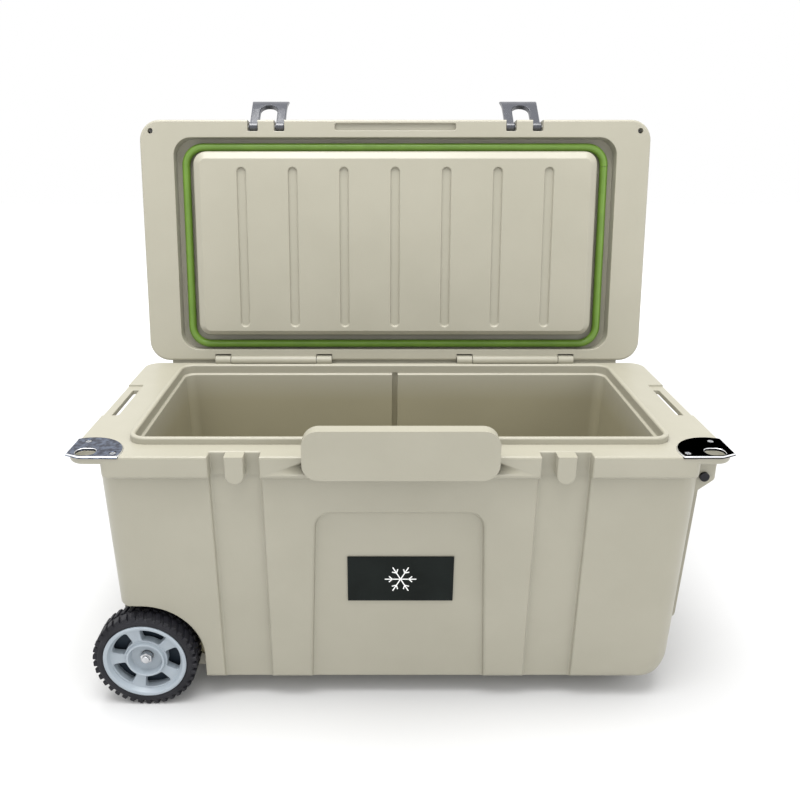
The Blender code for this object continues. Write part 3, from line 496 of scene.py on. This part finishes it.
def rod(axis, centre, radius, length, sides=32, rounding=0.0008):
    """A round bar with eased ends."""
    ends = rounded_path([(0.3 * radius, -length / 2), (radius, -length / 2, rounding),
                         (radius, length / 2, rounding), (0.3 * radius, length / 2)], 3)
    turn = {"X": FACING["right"], "Y": FACING["back"], "Z": FACING["up"]}[axis]
    return turned(ends, Matrix.Translation(centre) @ turn, closed=False, sides=sides)


def eased_box(low, high, rounding, segments=3):
    """A box with all its edges rounded."""
    bm = bmesh.new()
    size = Vector(high) - Vector(low)
    place = Matrix.Translation((Vector(low) + Vector(high)) / 2) @ Matrix.Diagonal((*size, 1.0))
    bmesh.ops.create_cube(bm, size=1.0, matrix=place)
    bmesh.ops.bevel(bm, geom=bm.edges, offset=rounding, segments=segments, profile=0.5,
                    affect="EDGES", material=-1)
    return bm


def trim(bm, spot, direction):
    """Cuts away what lies beyond a plane, and closes the cut."""
    bmesh.ops.bisect_plane(bm, geom=bm.verts[:] + bm.edges[:] + bm.faces[:], dist=0.000001,
                           plane_co=spot, plane_no=direction, clear_outer=True)
    bmesh.ops.holes_fill(bm, edges=[edge for edge in bm.edges if edge.is_boundary])
    bmesh.ops.recalc_face_normals(bm, faces=bm.faces)
    return bm


def lean(bm, slope):
    """Shears a cutter along Y as it goes down, like the draft of the front wall."""
    for vert in bm.verts:
        vert.co.y -= vert.co.z * slope
    return bm


print("stacks, pockets, pads and rods ready")

# %% [markdown]
# Cutters and bodies meet in exact Booleans. The result is merged where the cuts
# left tiny edges, and a weighted normal keeps the flat walls flat while the small
# rounded faces carry the highlight. That last step is what sells soft plastic.

# %% Booleans and finished pieces


def as_stock(bm, place=Matrix()):
    mesh = bpy.data.meshes.new("stock")
    bm.transform(place)
    bm.to_mesh(mesh)
    bm.free()
    stock = bpy.data.objects.new("stock", mesh)
    bpy.context.scene.collection.objects.link(stock)
    return stock


def combine(body, tools, operation):
    """Joins or cuts a stock object with a list of bmeshes."""
    helpers = [as_stock(bm) for bm in tools]
    for helper in helpers:
        step = body.modifiers.new(operation, "BOOLEAN")
        step.operation = operation
        step.solver = "EXACT"
        step.object = helper
    view = bpy.context.evaluated_depsgraph_get()
    mesh = bpy.data.meshes.new_from_object(body.evaluated_get(view))
    body.modifiers.clear()
    body.data = mesh
    for helper in helpers:
        bpy.data.objects.remove(helper)
    return body


def cut(body, *tools):
    return combine(body, tools, "DIFFERENCE")


def join(body, *tools):
    return combine(body, tools, "UNION")


def finish_piece(stock, name, material, body, place=TUB, replaces=(), sharp=35.0):
    """Turns stock into a named piece in its place, with clean shading."""
    bm = bmesh.new()
    bm.from_mesh(stock.data)
    bpy.data.objects.remove(stock)
    bmesh.ops.remove_doubles(bm, verts=bm.verts, dist=0.00003)
    bmesh.ops.dissolve_degenerate(bm, edges=bm.edges, dist=0.00003)
    bm.transform(place)
    mesh = bpy.data.meshes.new(name)
    bm.to_mesh(mesh)
    bm.free()
    mesh.materials.append(material)
    mesh.shade_smooth()
    mesh.set_sharp_from_angle(angle=radians(sharp))
    piece = bpy.data.objects.new(name, mesh)
    bpy.context.scene.collection.objects.link(piece)
    even = piece.modifiers.new("Even shading", "WEIGHTED_NORMAL")
    even.keep_sharp = True
    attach(piece, body)
    if replaces:
        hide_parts(*replaces)
    print(name, len(mesh.polygons), "faces")
    return piece


print("Booleans ready")

# %% [markdown]
# ## The tub's outer shell
# The real shell is one hollow moulding with draft on every wall. Its ends curve in
# under the tub much more than its front does, so the lowest rings pull in by two
# different amounts. The walls are one stack, and the recesses are cut into them
# first, because the rim's band has to run over the tops of the two channels.

# %% Tub walls with their recesses
SLOPE = 0.0075 / 0.364
WALL_LOW, WALL_HIGH = (-0.403, 0.012), (0.403, 0.393)
WHEEL_X, WHEEL_Z = -0.364, -0.324
BOTTOM = -0.364


def wall_rings():
    """Rings from the foot to the top, with a tall curve at the ends and a small one in front."""
    rings = []
    foot_levels = [0.038 * (1 - cos(pi / 2 * k / 10)) for k in range(11)]
    for level in foot_levels + [0.12, 0.20, 0.28, 0.362]:
        draft = 1 - level / 0.364
        end_curve = 0.024 * (1 - (1 - (1 - min(level / 0.038, 1)) ** 2) ** 0.5)
        side_curve = 0.009 * (1 - (1 - (1 - min(level / 0.009, 1)) ** 2) ** 0.5)
        half_x = 0.403 - 0.006 * draft - end_curve
        half_y = 0.1905 - 0.0075 * draft - side_curve
        rings.append((half_x, half_y, 0.030, BOTTOM + level, (0.0, 0.2025)))
    return rings


def panel_cutter():
    """The middle panel, wider at its foot than at its top."""
    cutter = pocket("front", 0.012, (-0.114, -0.43), (0.114, -0.090), 0.022, 0.007, 0.005, 0.003, 10)
    for vert in cutter.verts:
        vert.co.x *= 1 + 0.372 * max(-0.110 - vert.co.z, 0.0)
    return lean(cutter, SLOPE)


def channel_cutter(side):
    ends = sorted((side * 0.1835, side * 0.2525))
    return lean(pocket("front", 0.012, (ends[0], -0.45), (ends[1], -0.014), 0.004, 0.007, 0.003, 0.003), SLOPE)


def arch_cutter(way, surface):
    """The wheel pocket: a large rounded corner over the wheel, open to the end."""
    low, high = (-0.56, -0.56), (WHEEL_X + 0.084, WHEEL_Z + 0.084)
    return pocket(way, surface, low, high, 0.084, 0.0330, 0.002, 0.002, 16)


walls = as_stock(stack(wall_rings(), quarter=10))
cut(walls, panel_cutter(), channel_cutter(-1), channel_cutter(1))
print("walls", len(walls.data.polygons), "faces")

# %% [markdown]
# The rim is a flat flange with a deeper band below it. Two pockets meet at each
# latch gap, one facing forwards and one facing up, so both of its open edges are
# soft. The finger scoop is cut the same way, and its floor slopes down to the front.

# %% Rim, band, gaps, scoop and pockets


def latch_gap_cutters(side):
    ends = sorted((side * 0.1835, side * 0.2505))
    ahead = pocket("front", 0.0, (ends[0], -0.060), (ends[1], 0.03), 0.002, 0.0180, 0.0025, 0.0015)
    above = pocket("up", 0.0, (ends[0], -0.02), (ends[1], 0.0180), 0.002, 0.060, 0.0025, 0.0010)
    return ahead, above


def latch_tab(side):
    """The tongue that a latch hooks under: straight sides, and a round lower end."""
    x = side * 0.2165
    tab = pad("front", 0.002, (x - 0.0125, -0.040), (x + 0.0125, 0.020), 0.0125, 0.002, 0.0018, 0.0225, 9)
    return trim(tab, (0.0, 0.0, -0.0006), (0.0, 0.0, 1.0))


def scoop_cutters():
    """A notch that narrows and slopes as it goes down, and the soft lip in front of it."""
    bowl = pocket("up", 0.0, (-0.1265, -0.03), (0.1265, 0.0185), 0.012, 0.0155, 0.004, 0.0100, 10)
    for vert in bowl.verts:
        sunk = min(max(-vert.co.z / 0.0155, 0.0), 1.0)
        vert.co.x *= 1 - 0.10 * sunk ** 2
        vert.co.z -= sunk * 0.42 * (0.0185 - vert.co.y)
    lip = pocket("front", 0.0, (-0.1225, -0.0205), (0.1225, 0.04), 0.018, 0.004, 0.0038, 0.0005, 12)
    return bowl, lip


def ear(y_low, y_high):
    """A moulded ear under the rim, for one end of the tow handle, cut off slantwise below."""
    blank = eased_box((0.385, y_low, -0.074), (0.4275, y_high, -0.004), 0.0035)
    return trim(blank, (0.4275, 0.0, -0.048), (0.026, 0.0, -0.0325))


def knuckle_foot(low, high):
    """A hinge knuckle of the tub, on a foot below the rim."""
    return (eased_box((low + 0.0004, 0.385, -0.030), (high - 0.0004, 0.4133, -0.0008), 0.0012, 2),
            rod("X", ((low + high) / 2, HINGE.y, HINGE.z), 0.0085, high - low))


def side_span(side, low, high):
    return tuple(sorted((side * low, side * high)))


flange_path = rounded_path([(-0.06, -0.011), (0.0, -0.011, 0.003), (0.0, 0.0, 0.0028), (-0.06, 0.0)])
band_path = rounded_path([(-0.020, -0.033), (0.0, -0.033, 0.0060), (0.0, -0.003)])
flange = stack(rings_round((-0.4345, 0.0004), (0.4345, 0.4046), 0.024, flange_path, least=0.004))
band = stack(rings_round((-0.392, 0.0), (0.392, 0.405), 0.010, band_path, least=0.003))
join(walls, flange, band, ear(0.036, 0.0610), ear(0.344, 0.369))
cut(walls, *scoop_cutters(), arch_cutter("front", 0.0185), arch_cutter("back", 0.3865))
for side in (-1, 1):
    x0, x1 = side_span(side, 0.410, 0.46)
    s0, s1 = side_span(side, 0.4130, 0.4225)
    cut(walls, *latch_gap_cutters(side))
    join(walls, latch_tab(side))
    cut(walls, pocket("up", 0.0, (x0, 0.150), (x1, 0.286), 0.004, 0.004, 0.002, 0.001),
        pocket("up", -0.004, (s0, 0.156), (s1, 0.270), 0.003, 0.020, 0.001, 0.001),
        pocket("up", -0.0019, (side * 0.4115 - 0.013, 0.0035), (side * 0.4115 + 0.013, 0.0255), 0.009, 0.05))
    k0, k1 = side_span(side, 0.1371, 0.2869)
    cut(walls, rod("X", ((k0 + k1) / 2, HINGE.y, HINGE.z), 0.0100, k1 - k0))
    for low, high in ((0.110, 0.1367), (0.2873, 0.314)):
        join(walls, *knuckle_foot(*side_span(side, low, high)))
cut(walls, pocket("left", -0.403, (0.048, -0.095), (0.357, -0.050), 0.008, 0.019, 0.003, 0.003),
    pocket("right", 0.4025, (0.0605, -0.303), (0.3445, -0.0225), 0.006, 0.013, 0.003, 0.003),
    pocket("right", 0.3895, (0.115, -0.291), (0.290, -0.240), 0.012, 0.015, 0.003, 0.004),
    stack(rings_round((-0.3665, 0.0415), (0.3665, 0.368), 0.024, [(0.0, -0.345), (0.0, 0.02)])))
finish_piece(walls, "tub_walls", tan, "tub", replaces=("tub_shell",))

# %% [markdown]
# ## The tub's liner
# The liner is a second moulding inside the shell. One section line goes up its
# hidden outside, over the sealing ridge, down past a narrow ledge, and along the
# drafted wall to a rounded floor. A box joined at the left makes the step that
# clears the wheels, and a slot in each long wall takes a divider.

# %% Liner cup, wheel step and divider slots
cup_outside = rounded_path([(-0.006, -0.327), (0.0078, -0.200), (0.0078, 0.0095, 0.0030), (-0.020, 0.0095)])
cup_inside = rounded_path([(-0.040, -0.322), (-0.0115, -0.322, 0.0100), (-0.004, -0.006, 0.0020),
                           (0.0, -0.006, 0.0015), (0.0, 0.0065)])
cup_inside += [(0.003 * (1 - cos(pi / 2 * k / 5)), 0.0065 + 0.003 * sin(pi / 2 * k / 5)) for k in range(1, 6)]
cup_inside.append((0.003, 0.03))


def cup_rings(path):
    return rings_round((-0.359, 0.049), (0.359, 0.3605), 0.018, path, least=0.016)


cup = as_stock(stack(cup_rings(cup_outside), quarter=10))
cut(cup, stack(cup_rings(cup_inside), quarter=10))
join(cup, eased_box((-0.3540, 0.0520, -0.3240), (-0.2560, 0.3580, -0.2120), 0.0100, 4))
cut(cup, lean(eased_box((-0.0048, 0.0460, -0.302), (0.0048, 0.0605, -0.004), 0.0015), 0.0202),
    lean(eased_box((-0.0048, 0.3490, -0.302), (0.0048, 0.3635, -0.004), 0.0015), -0.0202))
finish_piece(cup, "liner_cup", inner_tan_painted_shade, "tub", replaces=("tub_liner",))

# %% [markdown]
# ## The lid
# The lid stands open, so its underside is what shows. It is a rounded slab with a
# window for its own liner, a shallow slot that meets the scoop, notches for the
# latches' legs, and a small padlock hole at each end of its front edge.

# %% Lid shell
lid_path = rounded_path([(-0.06, 0.0015), (0.0, 0.0015, 0.004), (0.0, 0.0515, 0.012), (-0.06, 0.0515)])
lid = as_stock(stack(rings_round((-0.4285, 0.0), (0.4285, 0.405), 0.034, lid_path, least=0.010), quarter=10))
join(lid, eased_box((-0.392, 0.3900, 0.0075), (0.392, 0.4130, 0.0240), 0.0020))
cut(lid, pocket("down", 0.0015, (-0.3724, 0.0286), (0.3724, 0.3858), 0.030, 0.024, 0.0012, 0.001, 10),
    pocket("down", 0.0015, (-0.1013, 0.0062), (0.1013, 0.0176), 0.0035, 0.005, 0.001, 0.001))
for side in (-1, 1):
    for leg in (-1, 1):
        middle = side * 0.2165 + leg * 0.0222
        cut(lid, pocket("down", 0.0015, (middle - 0.0087, -0.02), (middle + 0.0087, 0.0185), 0.002, 0.07, 0.0012))
    cut(lid, rod("Z", (side * 0.410, 0.018, 0.02), 0.0045, 0.10, 24, 0.0005))
    for low, high in ((0.1094, 0.1373), (0.2867, 0.3146)):
        x0, x1 = side_span(side, low, high)
        cut(lid, rod("X", ((x0 + x1) / 2, HINGE.y, HINGE.z), 0.0115, x1 - x0))
    x0, x1 = side_span(side, 0.1375, 0.2865)
    join(lid, rod("X", ((x0 + x1) / 2, HINGE.y, HINGE.z), 0.0085, x1 - x0),
         eased_box((x0 + 0.0004, 0.4010, 0.0040), (x1 - 0.0004, 0.4126, 0.0200), 0.0012, 2))
finish_piece(lid, "lid_moulding", tan, "lid", LID, ("lid_shell",))

# %% [markdown]
# The lid's liner sits in that window. From its outer lip the section drops into the
# seal's groove, climbs the sloping side of the plug, and ends in a flat face with
# seven long slots. The slots stiffen the face, and their soft mouths catch light.

# %% Lid liner
slab_path = rounded_path([(-0.050, 0.0255), (0.0016, 0.0255), (0.0016, 0.0015, 0.0008), (-0.050, 0.0015)])
plug_path = rounded_path([(-0.030, 0.0200), (0.0045, 0.0200), (0.0008, -0.0040, 0.0060),
                          (-0.0110, -0.0105, 0.0040), (-0.030, -0.0105)], 4)
plug = as_stock(stack(rings_round((-0.370, 0.031), (0.370, 0.3835), 0.028, slab_path, least=0.004), quarter=10))
cut(plug, pocket("down", 0.0015, (-0.370, 0.031), (0.370, 0.3835), 0.028, 0.016, 0.0007, 0.003, 10))
join(plug, stack(rings_round((-0.338, 0.053), (0.338, 0.3585), 0.020, plug_path, (1.0, 1.0, 0.6), 0.008), quarter=10))
for i in range(7):
    x = 0.086 * (i - 3)
    cut(plug, pocket("down", -0.0105, (x - 0.0072, 0.0785), (x + 0.0072, 0.3440), 0.0070, 0.0040, 0.0022, 0.0016, 8))
finish_piece(plug, "lid_plug", tan, "lid", LID, ("lid_liner",))

# %% [markdown]
# ## The seal
# The seal is a soft green tube, laid round the groove and cut to length. Its section
# is a circle of offsets and heights, so a closed stack of rings makes the whole loop.
# Its two cut ends butt together near one corner, where a dark slit shows.

# %% Seal tube
SEAL_RADIUS = 0.0067
seal_path = [(SEAL_RADIUS * cos(2 * pi * k / 20), 0.0165 + SEAL_RADIUS * sin(2 * pi * k / 20)) for k in range(20)]
seal = as_stock(stack(rings_round((-0.3550, 0.0430), (0.3550, 0.3765), 0.030, seal_path), closed=True, quarter=14))
cut(seal, eased_box((0.34, 0.0748, 0.0), (0.37, 0.0752, 0.03), 0.0001, 1))
finish_piece(seal, "seal_tube", seal_green, "lid", LID, ("lid_gasket",), 60.0)

# %% Foam in the lid
foam = stack(rings_round((-0.412, 0.030), (0.412, 0.375), 0.030, [(0.0, 0.0290), (0.0, 0.0440)]))
finish_piece(as_stock(foam), "lid_filling", foam_cream, "lid", LID, ("lid_foam",))

# %% [markdown]
# ## Latches
# Each latch is one tough rubber moulding: two legs on a pin, an arched opening that
# hooks under the tub's tab, and a lip that flares out for the fingers. Its rings run
# down its length, so its width and its bow can change from one to the next.

# %% Latches


def latch_piece(side):
    x = side * 0.2165
    sections = ((0.0185, 0.0296, 0.0040, 0.0060), (0.0100, 0.0298, 0.0047, 0.0058), (-0.0300, 0.0299, 0.0047, 0.0058),
                (-0.0440, 0.0302, 0.0046, 0.0052), (-0.0530, 0.0309, 0.0042, 0.0034),
                (-0.0595, 0.0318, 0.0034, 0.0010), (-0.0640, 0.0324, 0.0020, -0.0010))
    latch = as_stock(stack([(half, thick, 0.0018, z, (x, y)) for z, half, thick, y in sections]))
    opening = ((x - 0.0146, -0.0414), (x + 0.0146, 0.0500), 0.0145, 0.030, 0.0018, 0.001, 9)
    cut(latch, pocket("front", 0.0011, *opening), pocket("back", 0.0104, *opening),
        rod("Y", (x, 0.0, -0.1222), 0.0600, 0.06, 96))
    for leg in (-1, 1):
        middle = x + leg * 0.0222
        join(latch, rod("X", (middle, LATCH_PIN.y, LATCH_PIN.z), 0.0075, 0.0150, 32, 0.0012))
    return latch


for side, word in ((-1, "left"), (1, "right")):
    finish_piece(latch_piece(side), "latch_moulding_" + word, latch_rubber, word + "_latch",
                 LATCH, ("latch_" + word,))

# %% [markdown]
# ## Wheels
# A tyre is a turned section with two staggered rows of slanted lugs round its tread.
# The lugs wrap over the shoulder, which gives the wheel its scalloped edge.

# %% Tyres


def wheel_place(way):
    """The wheel's drawing looks out of the tub, with its outer face at zero."""
    surface = 0.004 if way == "front" else 0.401
    return TUB @ Matrix.Translation((WHEEL_X, 0.0, WHEEL_Z)) @ facing(way, surface)


def add_lug(bm, turn, low, high, slant):
    place = (Matrix.Rotation(turn, 4, "Z") @ Matrix.Translation((0.0, 0.0690, (low + high) / 2))
             @ Matrix.Rotation(radians(slant), 4, "Y") @ Matrix.Diagonal((0.0076, 0.0112, high - low, 1.0)))
    lug = bmesh.ops.create_cube(bm, size=1.0, matrix=place)
    edges = list({edge for vert in lug["verts"] for edge in vert.link_edges})
    bmesh.ops.bevel(bm, geom=edges, offset=0.0014, segments=2, profile=0.5, affect="EDGES", material=-1)


TYRE = rounded_path([(0.0599, -0.0025), (0.0625, -0.0006, 0.0012), (0.0665, -0.0002, 0.0020), (0.0705, -0.0035, 0.0030),
                     (0.0722, -0.0100, 0.0030), (0.0722, -0.0300, 0.0030), (0.0705, -0.0365, 0.0030),
                     (0.0665, -0.0398, 0.0020), (0.0625, -0.0394, 0.0012), (0.0599, -0.0375)], 3)
LUGS = 38
for way in ("front", "back"):
    bm = turned(TYRE, sides=96)
    for i in range(LUGS):
        add_lug(bm, 2 * pi * i / LUGS, -0.0180, -0.0012, 14.0)
        add_lug(bm, 2 * pi * (i + 0.5) / LUGS, -0.0388, -0.0220, -14.0)
    finish_piece(as_stock(bm), "tyre_with_lugs_" + way, tyre_rubber, way + "_wheel",
                 wheel_place(way), ("tyre_" + way,), 40.0)

# %% [markdown]
# The rim is turned too, and then five windows are cut between its spokes. Each window
# is a pocket drawn on a flat strip, and the strip is then bent round the axle.

# %% Wheel rims and axle nuts
RIM = rounded_path([(0.0597, -0.0388), (0.0597, -0.0012, 0.0006), (0.0575, -0.0002, 0.0010), (0.0540, -0.0008, 0.0015),
                    (0.0508, -0.0075, 0.0015), (0.0290, -0.0090, 0.0015), (0.0272, -0.0035, 0.0008),
                    (0.0246, -0.0035, 0.0008), (0.0224, -0.0150, 0.0020), (0.0092, -0.0160), (0.0092, -0.0395),
                    (0.0150, -0.0395), (0.0160, -0.0220), (0.0500, -0.0180), (0.0545, -0.0388)], 3)
MIDDLE_RADIUS = 0.0405


def window_cutter(turn):
    cutter = pocket("up", -0.0082, (-0.0168, 0.0308), (0.0168, 0.0496), 0.0035, 0.022, 0.0014, 0.001)
    strips = [e for e in cutter.edges if abs(e.verts[0].co.x - e.verts[1].co.x) > 0.012]
    bmesh.ops.subdivide_edges(cutter, edges=strips, cuts=7, use_grid_fill=True)
    for vert in cutter.verts:
        angle, radius = vert.co.x / MIDDLE_RADIUS, vert.co.y
        vert.co.x, vert.co.y = radius * sin(angle), radius * cos(angle)
    cutter.transform(Matrix.Rotation(turn, 4, "Z"))
    return cutter


for way in ("front", "back"):
    rim = as_stock(turned(RIM, sides=80))
    mirrored = 1 if way == "front" else -1
    cut(rim, *[window_cutter(mirrored * radians(72 * i - 90)) for i in range(5)])
    finish_piece(rim, "spoked_rim_" + way, wheel_grey, way + "_wheel",
                 wheel_place(way), ("wheel_rim_" + way,), 32.0)
    # A dark disc inside the wheel, behind its windows, is painted shade, so that the windows look dark.
    shade_disc = turned(rounded_path([(0.0155, -0.0250), (0.0540, -0.0250), (0.0540, -0.0270), (0.0155, -0.0270)]))
    finish_piece(as_stock(shade_disc), "wheel_painted_shade_disc_" + way, painted_shade_blue, way + "_wheel",
                 wheel_place(way))
    nut = turned(rounded_path([(0.0030, -0.0145), (0.0094, -0.0145), (0.0094, -0.0080, 0.0016), (0.0030, -0.0072)]),
                 closed=False, sides=6)
    stub = turned(rounded_path([(0.0010, -0.0140), (0.0056, -0.0140), (0.0056, -0.0042, 0.0014), (0.0010, -0.0040)]),
                  closed=False, sides=32)
    finish_piece(join(as_stock(nut), stub), "domed_nut_" + way, bright_steel, "tub",
                 wheel_place(way), ("axle_nut_" + way,), 25.0)

# %% [markdown]
# ## Corner plates
# The steel plates are pressed flat and polished. A plate starts as a disc, and three
# planes trim it to its pointed outline. Its face colour is a painted reflection: near-black
# on the right plate, blotched blue on the left. Its chamfer takes a second, much brighter
# metal, a painted highlight for the white that a polished edge reflects.

# %% Corner plates and their screws


def plate_blank():
    """The right-hand plate before its holes: a round outline with two straight sides and a point."""
    bm = bmesh.new()
    bmesh.ops.create_cone(bm, cap_ends=True, segments=96, radius1=0.050, radius2=0.050, depth=0.003,
                          matrix=Matrix.Translation((0.4135, 0.0140, 0.0)))
    trim(bm, (0.436, 0.0, 0.0), (1.0, 0.0, 0.0))
    trim(bm, (0.0, -0.0015, 0.0), (0.0, -1.0, 0.0))
    trim(bm, (0.4165, -0.0015, 0.0), (0.0095, -0.0195, 0.0))
    bmesh.ops.recalc_face_normals(bm, faces=bm.faces)
    top = [e for e in bm.edges if all(abs(v.co.z - 0.0015) < 0.00001 for v in e.verts)]
    bmesh.ops.bevel(bm, geom=top, offset=0.0014, segments=1, profile=0.5, affect="EDGES", material=-1)
    return bm


SCREWS = ((0.3745, 0.0105), (0.4190, 0.0500))
for side, word in ((-1, "left"), (1, "right")):
    plate = as_stock(plate_blank())
    cut(plate, pocket("up", 0.0015, (0.3985, 0.0035), (0.4245, 0.0255), 0.009, 0.01, 0.0011),
        *[rod("Z", (x, y, 0.0003), 0.00485, 0.017, 28) for x, y in SCREWS])
    if side < 0:
        plate.data.transform(Matrix.Diagonal((-1.0, 1.0, 1.0, 1.0)))
        plate.data.flip_normals()
    # Each plate's face colour is a painted reflection.
    piece = finish_piece(plate, "pointed_plate_" + word, painted_blue_reflection_steel if side < 0 else painted_dark_reflection_steel, "tub",
                         TUB, ("corner_plate_" + word,), 25.0)
    # The chamfer faces take the painted highlight.
    piece.data.materials.append(painted_highlight_edge)
    for face in piece.data.polygons:
        if 0.2 < face.normal.z < 0.98:
            face.material_index = 1
    for number, (x, y) in enumerate(SCREWS, start=1):
        head = as_stock(rod("Z", (side * x, y, -0.0018), 0.0044, 0.0060, 32, 0.0010))
        cut(head, eased_box((side * x - 0.0024, y - 0.0005, 0.0004), (side * x + 0.0024, y + 0.0005, 0.004), 0.0002, 1),
            eased_box((side * x - 0.0005, y - 0.0024, 0.0004), (side * x + 0.0005, y + 0.0024, 0.004), 0.0002, 1))
        finish_piece(head, f"cross_screw_{word}_{number}", bright_steel, "tub",
                     TUB, (f"plate_screw_{word}_{number}",))

# %% [markdown]
# ## Name plate
# The plate is a plain dark panel. A generic snow crystal stands on it: six arms from
# three crossed bars, each with a pair of barbs.

# %% Name plate and snow crystal
plate = lean(eased_box((-0.0715, 0.0168, -0.2320), (0.0765, 0.0187, -0.1600), 0.0006, 2), SLOPE)
finish_piece(as_stock(plate), "dark_plate", plate_black, "tub", TUB, ("name_plate",))


def add_bar(bm, turn, reach, spread, length):
    """A flat bar on the crystal, at some reach along an arm and turned away from it."""
    place = (Matrix.Rotation(turn, 4, "Y") @ Matrix.Translation((reach, 0.0, 0.0)) @ Matrix.Rotation(spread, 4, "Y")
             @ Matrix.Translation((length / 2, 0.0, 0.0)) @ Matrix.Diagonal((length, 0.0006, 0.0015, 1.0)))
    bmesh.ops.create_cube(bm, size=1.0, matrix=place)


crystal = bmesh.new()
for i in range(6):
    add_bar(crystal, pi / 3 * i, 0.0, 0.0, 0.0220)
    for spread in (-pi / 4, pi / 4):
        add_bar(crystal, pi / 3 * i, 0.0115, spread, 0.0065)
crystal.transform(Matrix.Translation((0.0025, 0.0168, -0.1960)))
finish_piece(as_stock(lean(crystal, SLOPE)), "snow_crystal", mark_white, "tub", TUB)

# %% Materials for the nodes that keep their shape
FINISH = {"tub_foam": foam_cream, "lid_foam": foam_cream, "lid_gasket": seal_green, "name_plate": black_plastic,
          "foot_front": plain_rubber, "foot_back": plain_rubber, "drain_seal": plain_rubber,
          "drain_fitting": black_plastic, "drain_cap": black_plastic, "tow_handle_grip": plain_rubber,
          "tow_handle_frame": coated_steel, "axle_rod": zinc,
          "handle_bolt_front": dark_steel, "handle_bolt_back": dark_steel,
          "latch_left": latch_rubber, "latch_right": latch_rubber,
          "tyre_front": tyre_rubber, "tyre_back": tyre_rubber,
          "wheel_rim_front": wheel_grey, "wheel_rim_back": wheel_grey,
          "axle_spacer_front": wheel_grey, "axle_spacer_back": wheel_grey,
          "corner_plate_left": painted_blue_reflection_steel, "corner_plate_right": painted_blue_reflection_steel}
for name, node in nodes.items():
    finish = FINISH.get(name, bright_steel if "screw" in name or "nut" in name or "bolt" in name else zinc)
    node.data.materials.clear()
    node.data.materials.append(finish)
print("every node has a finish")
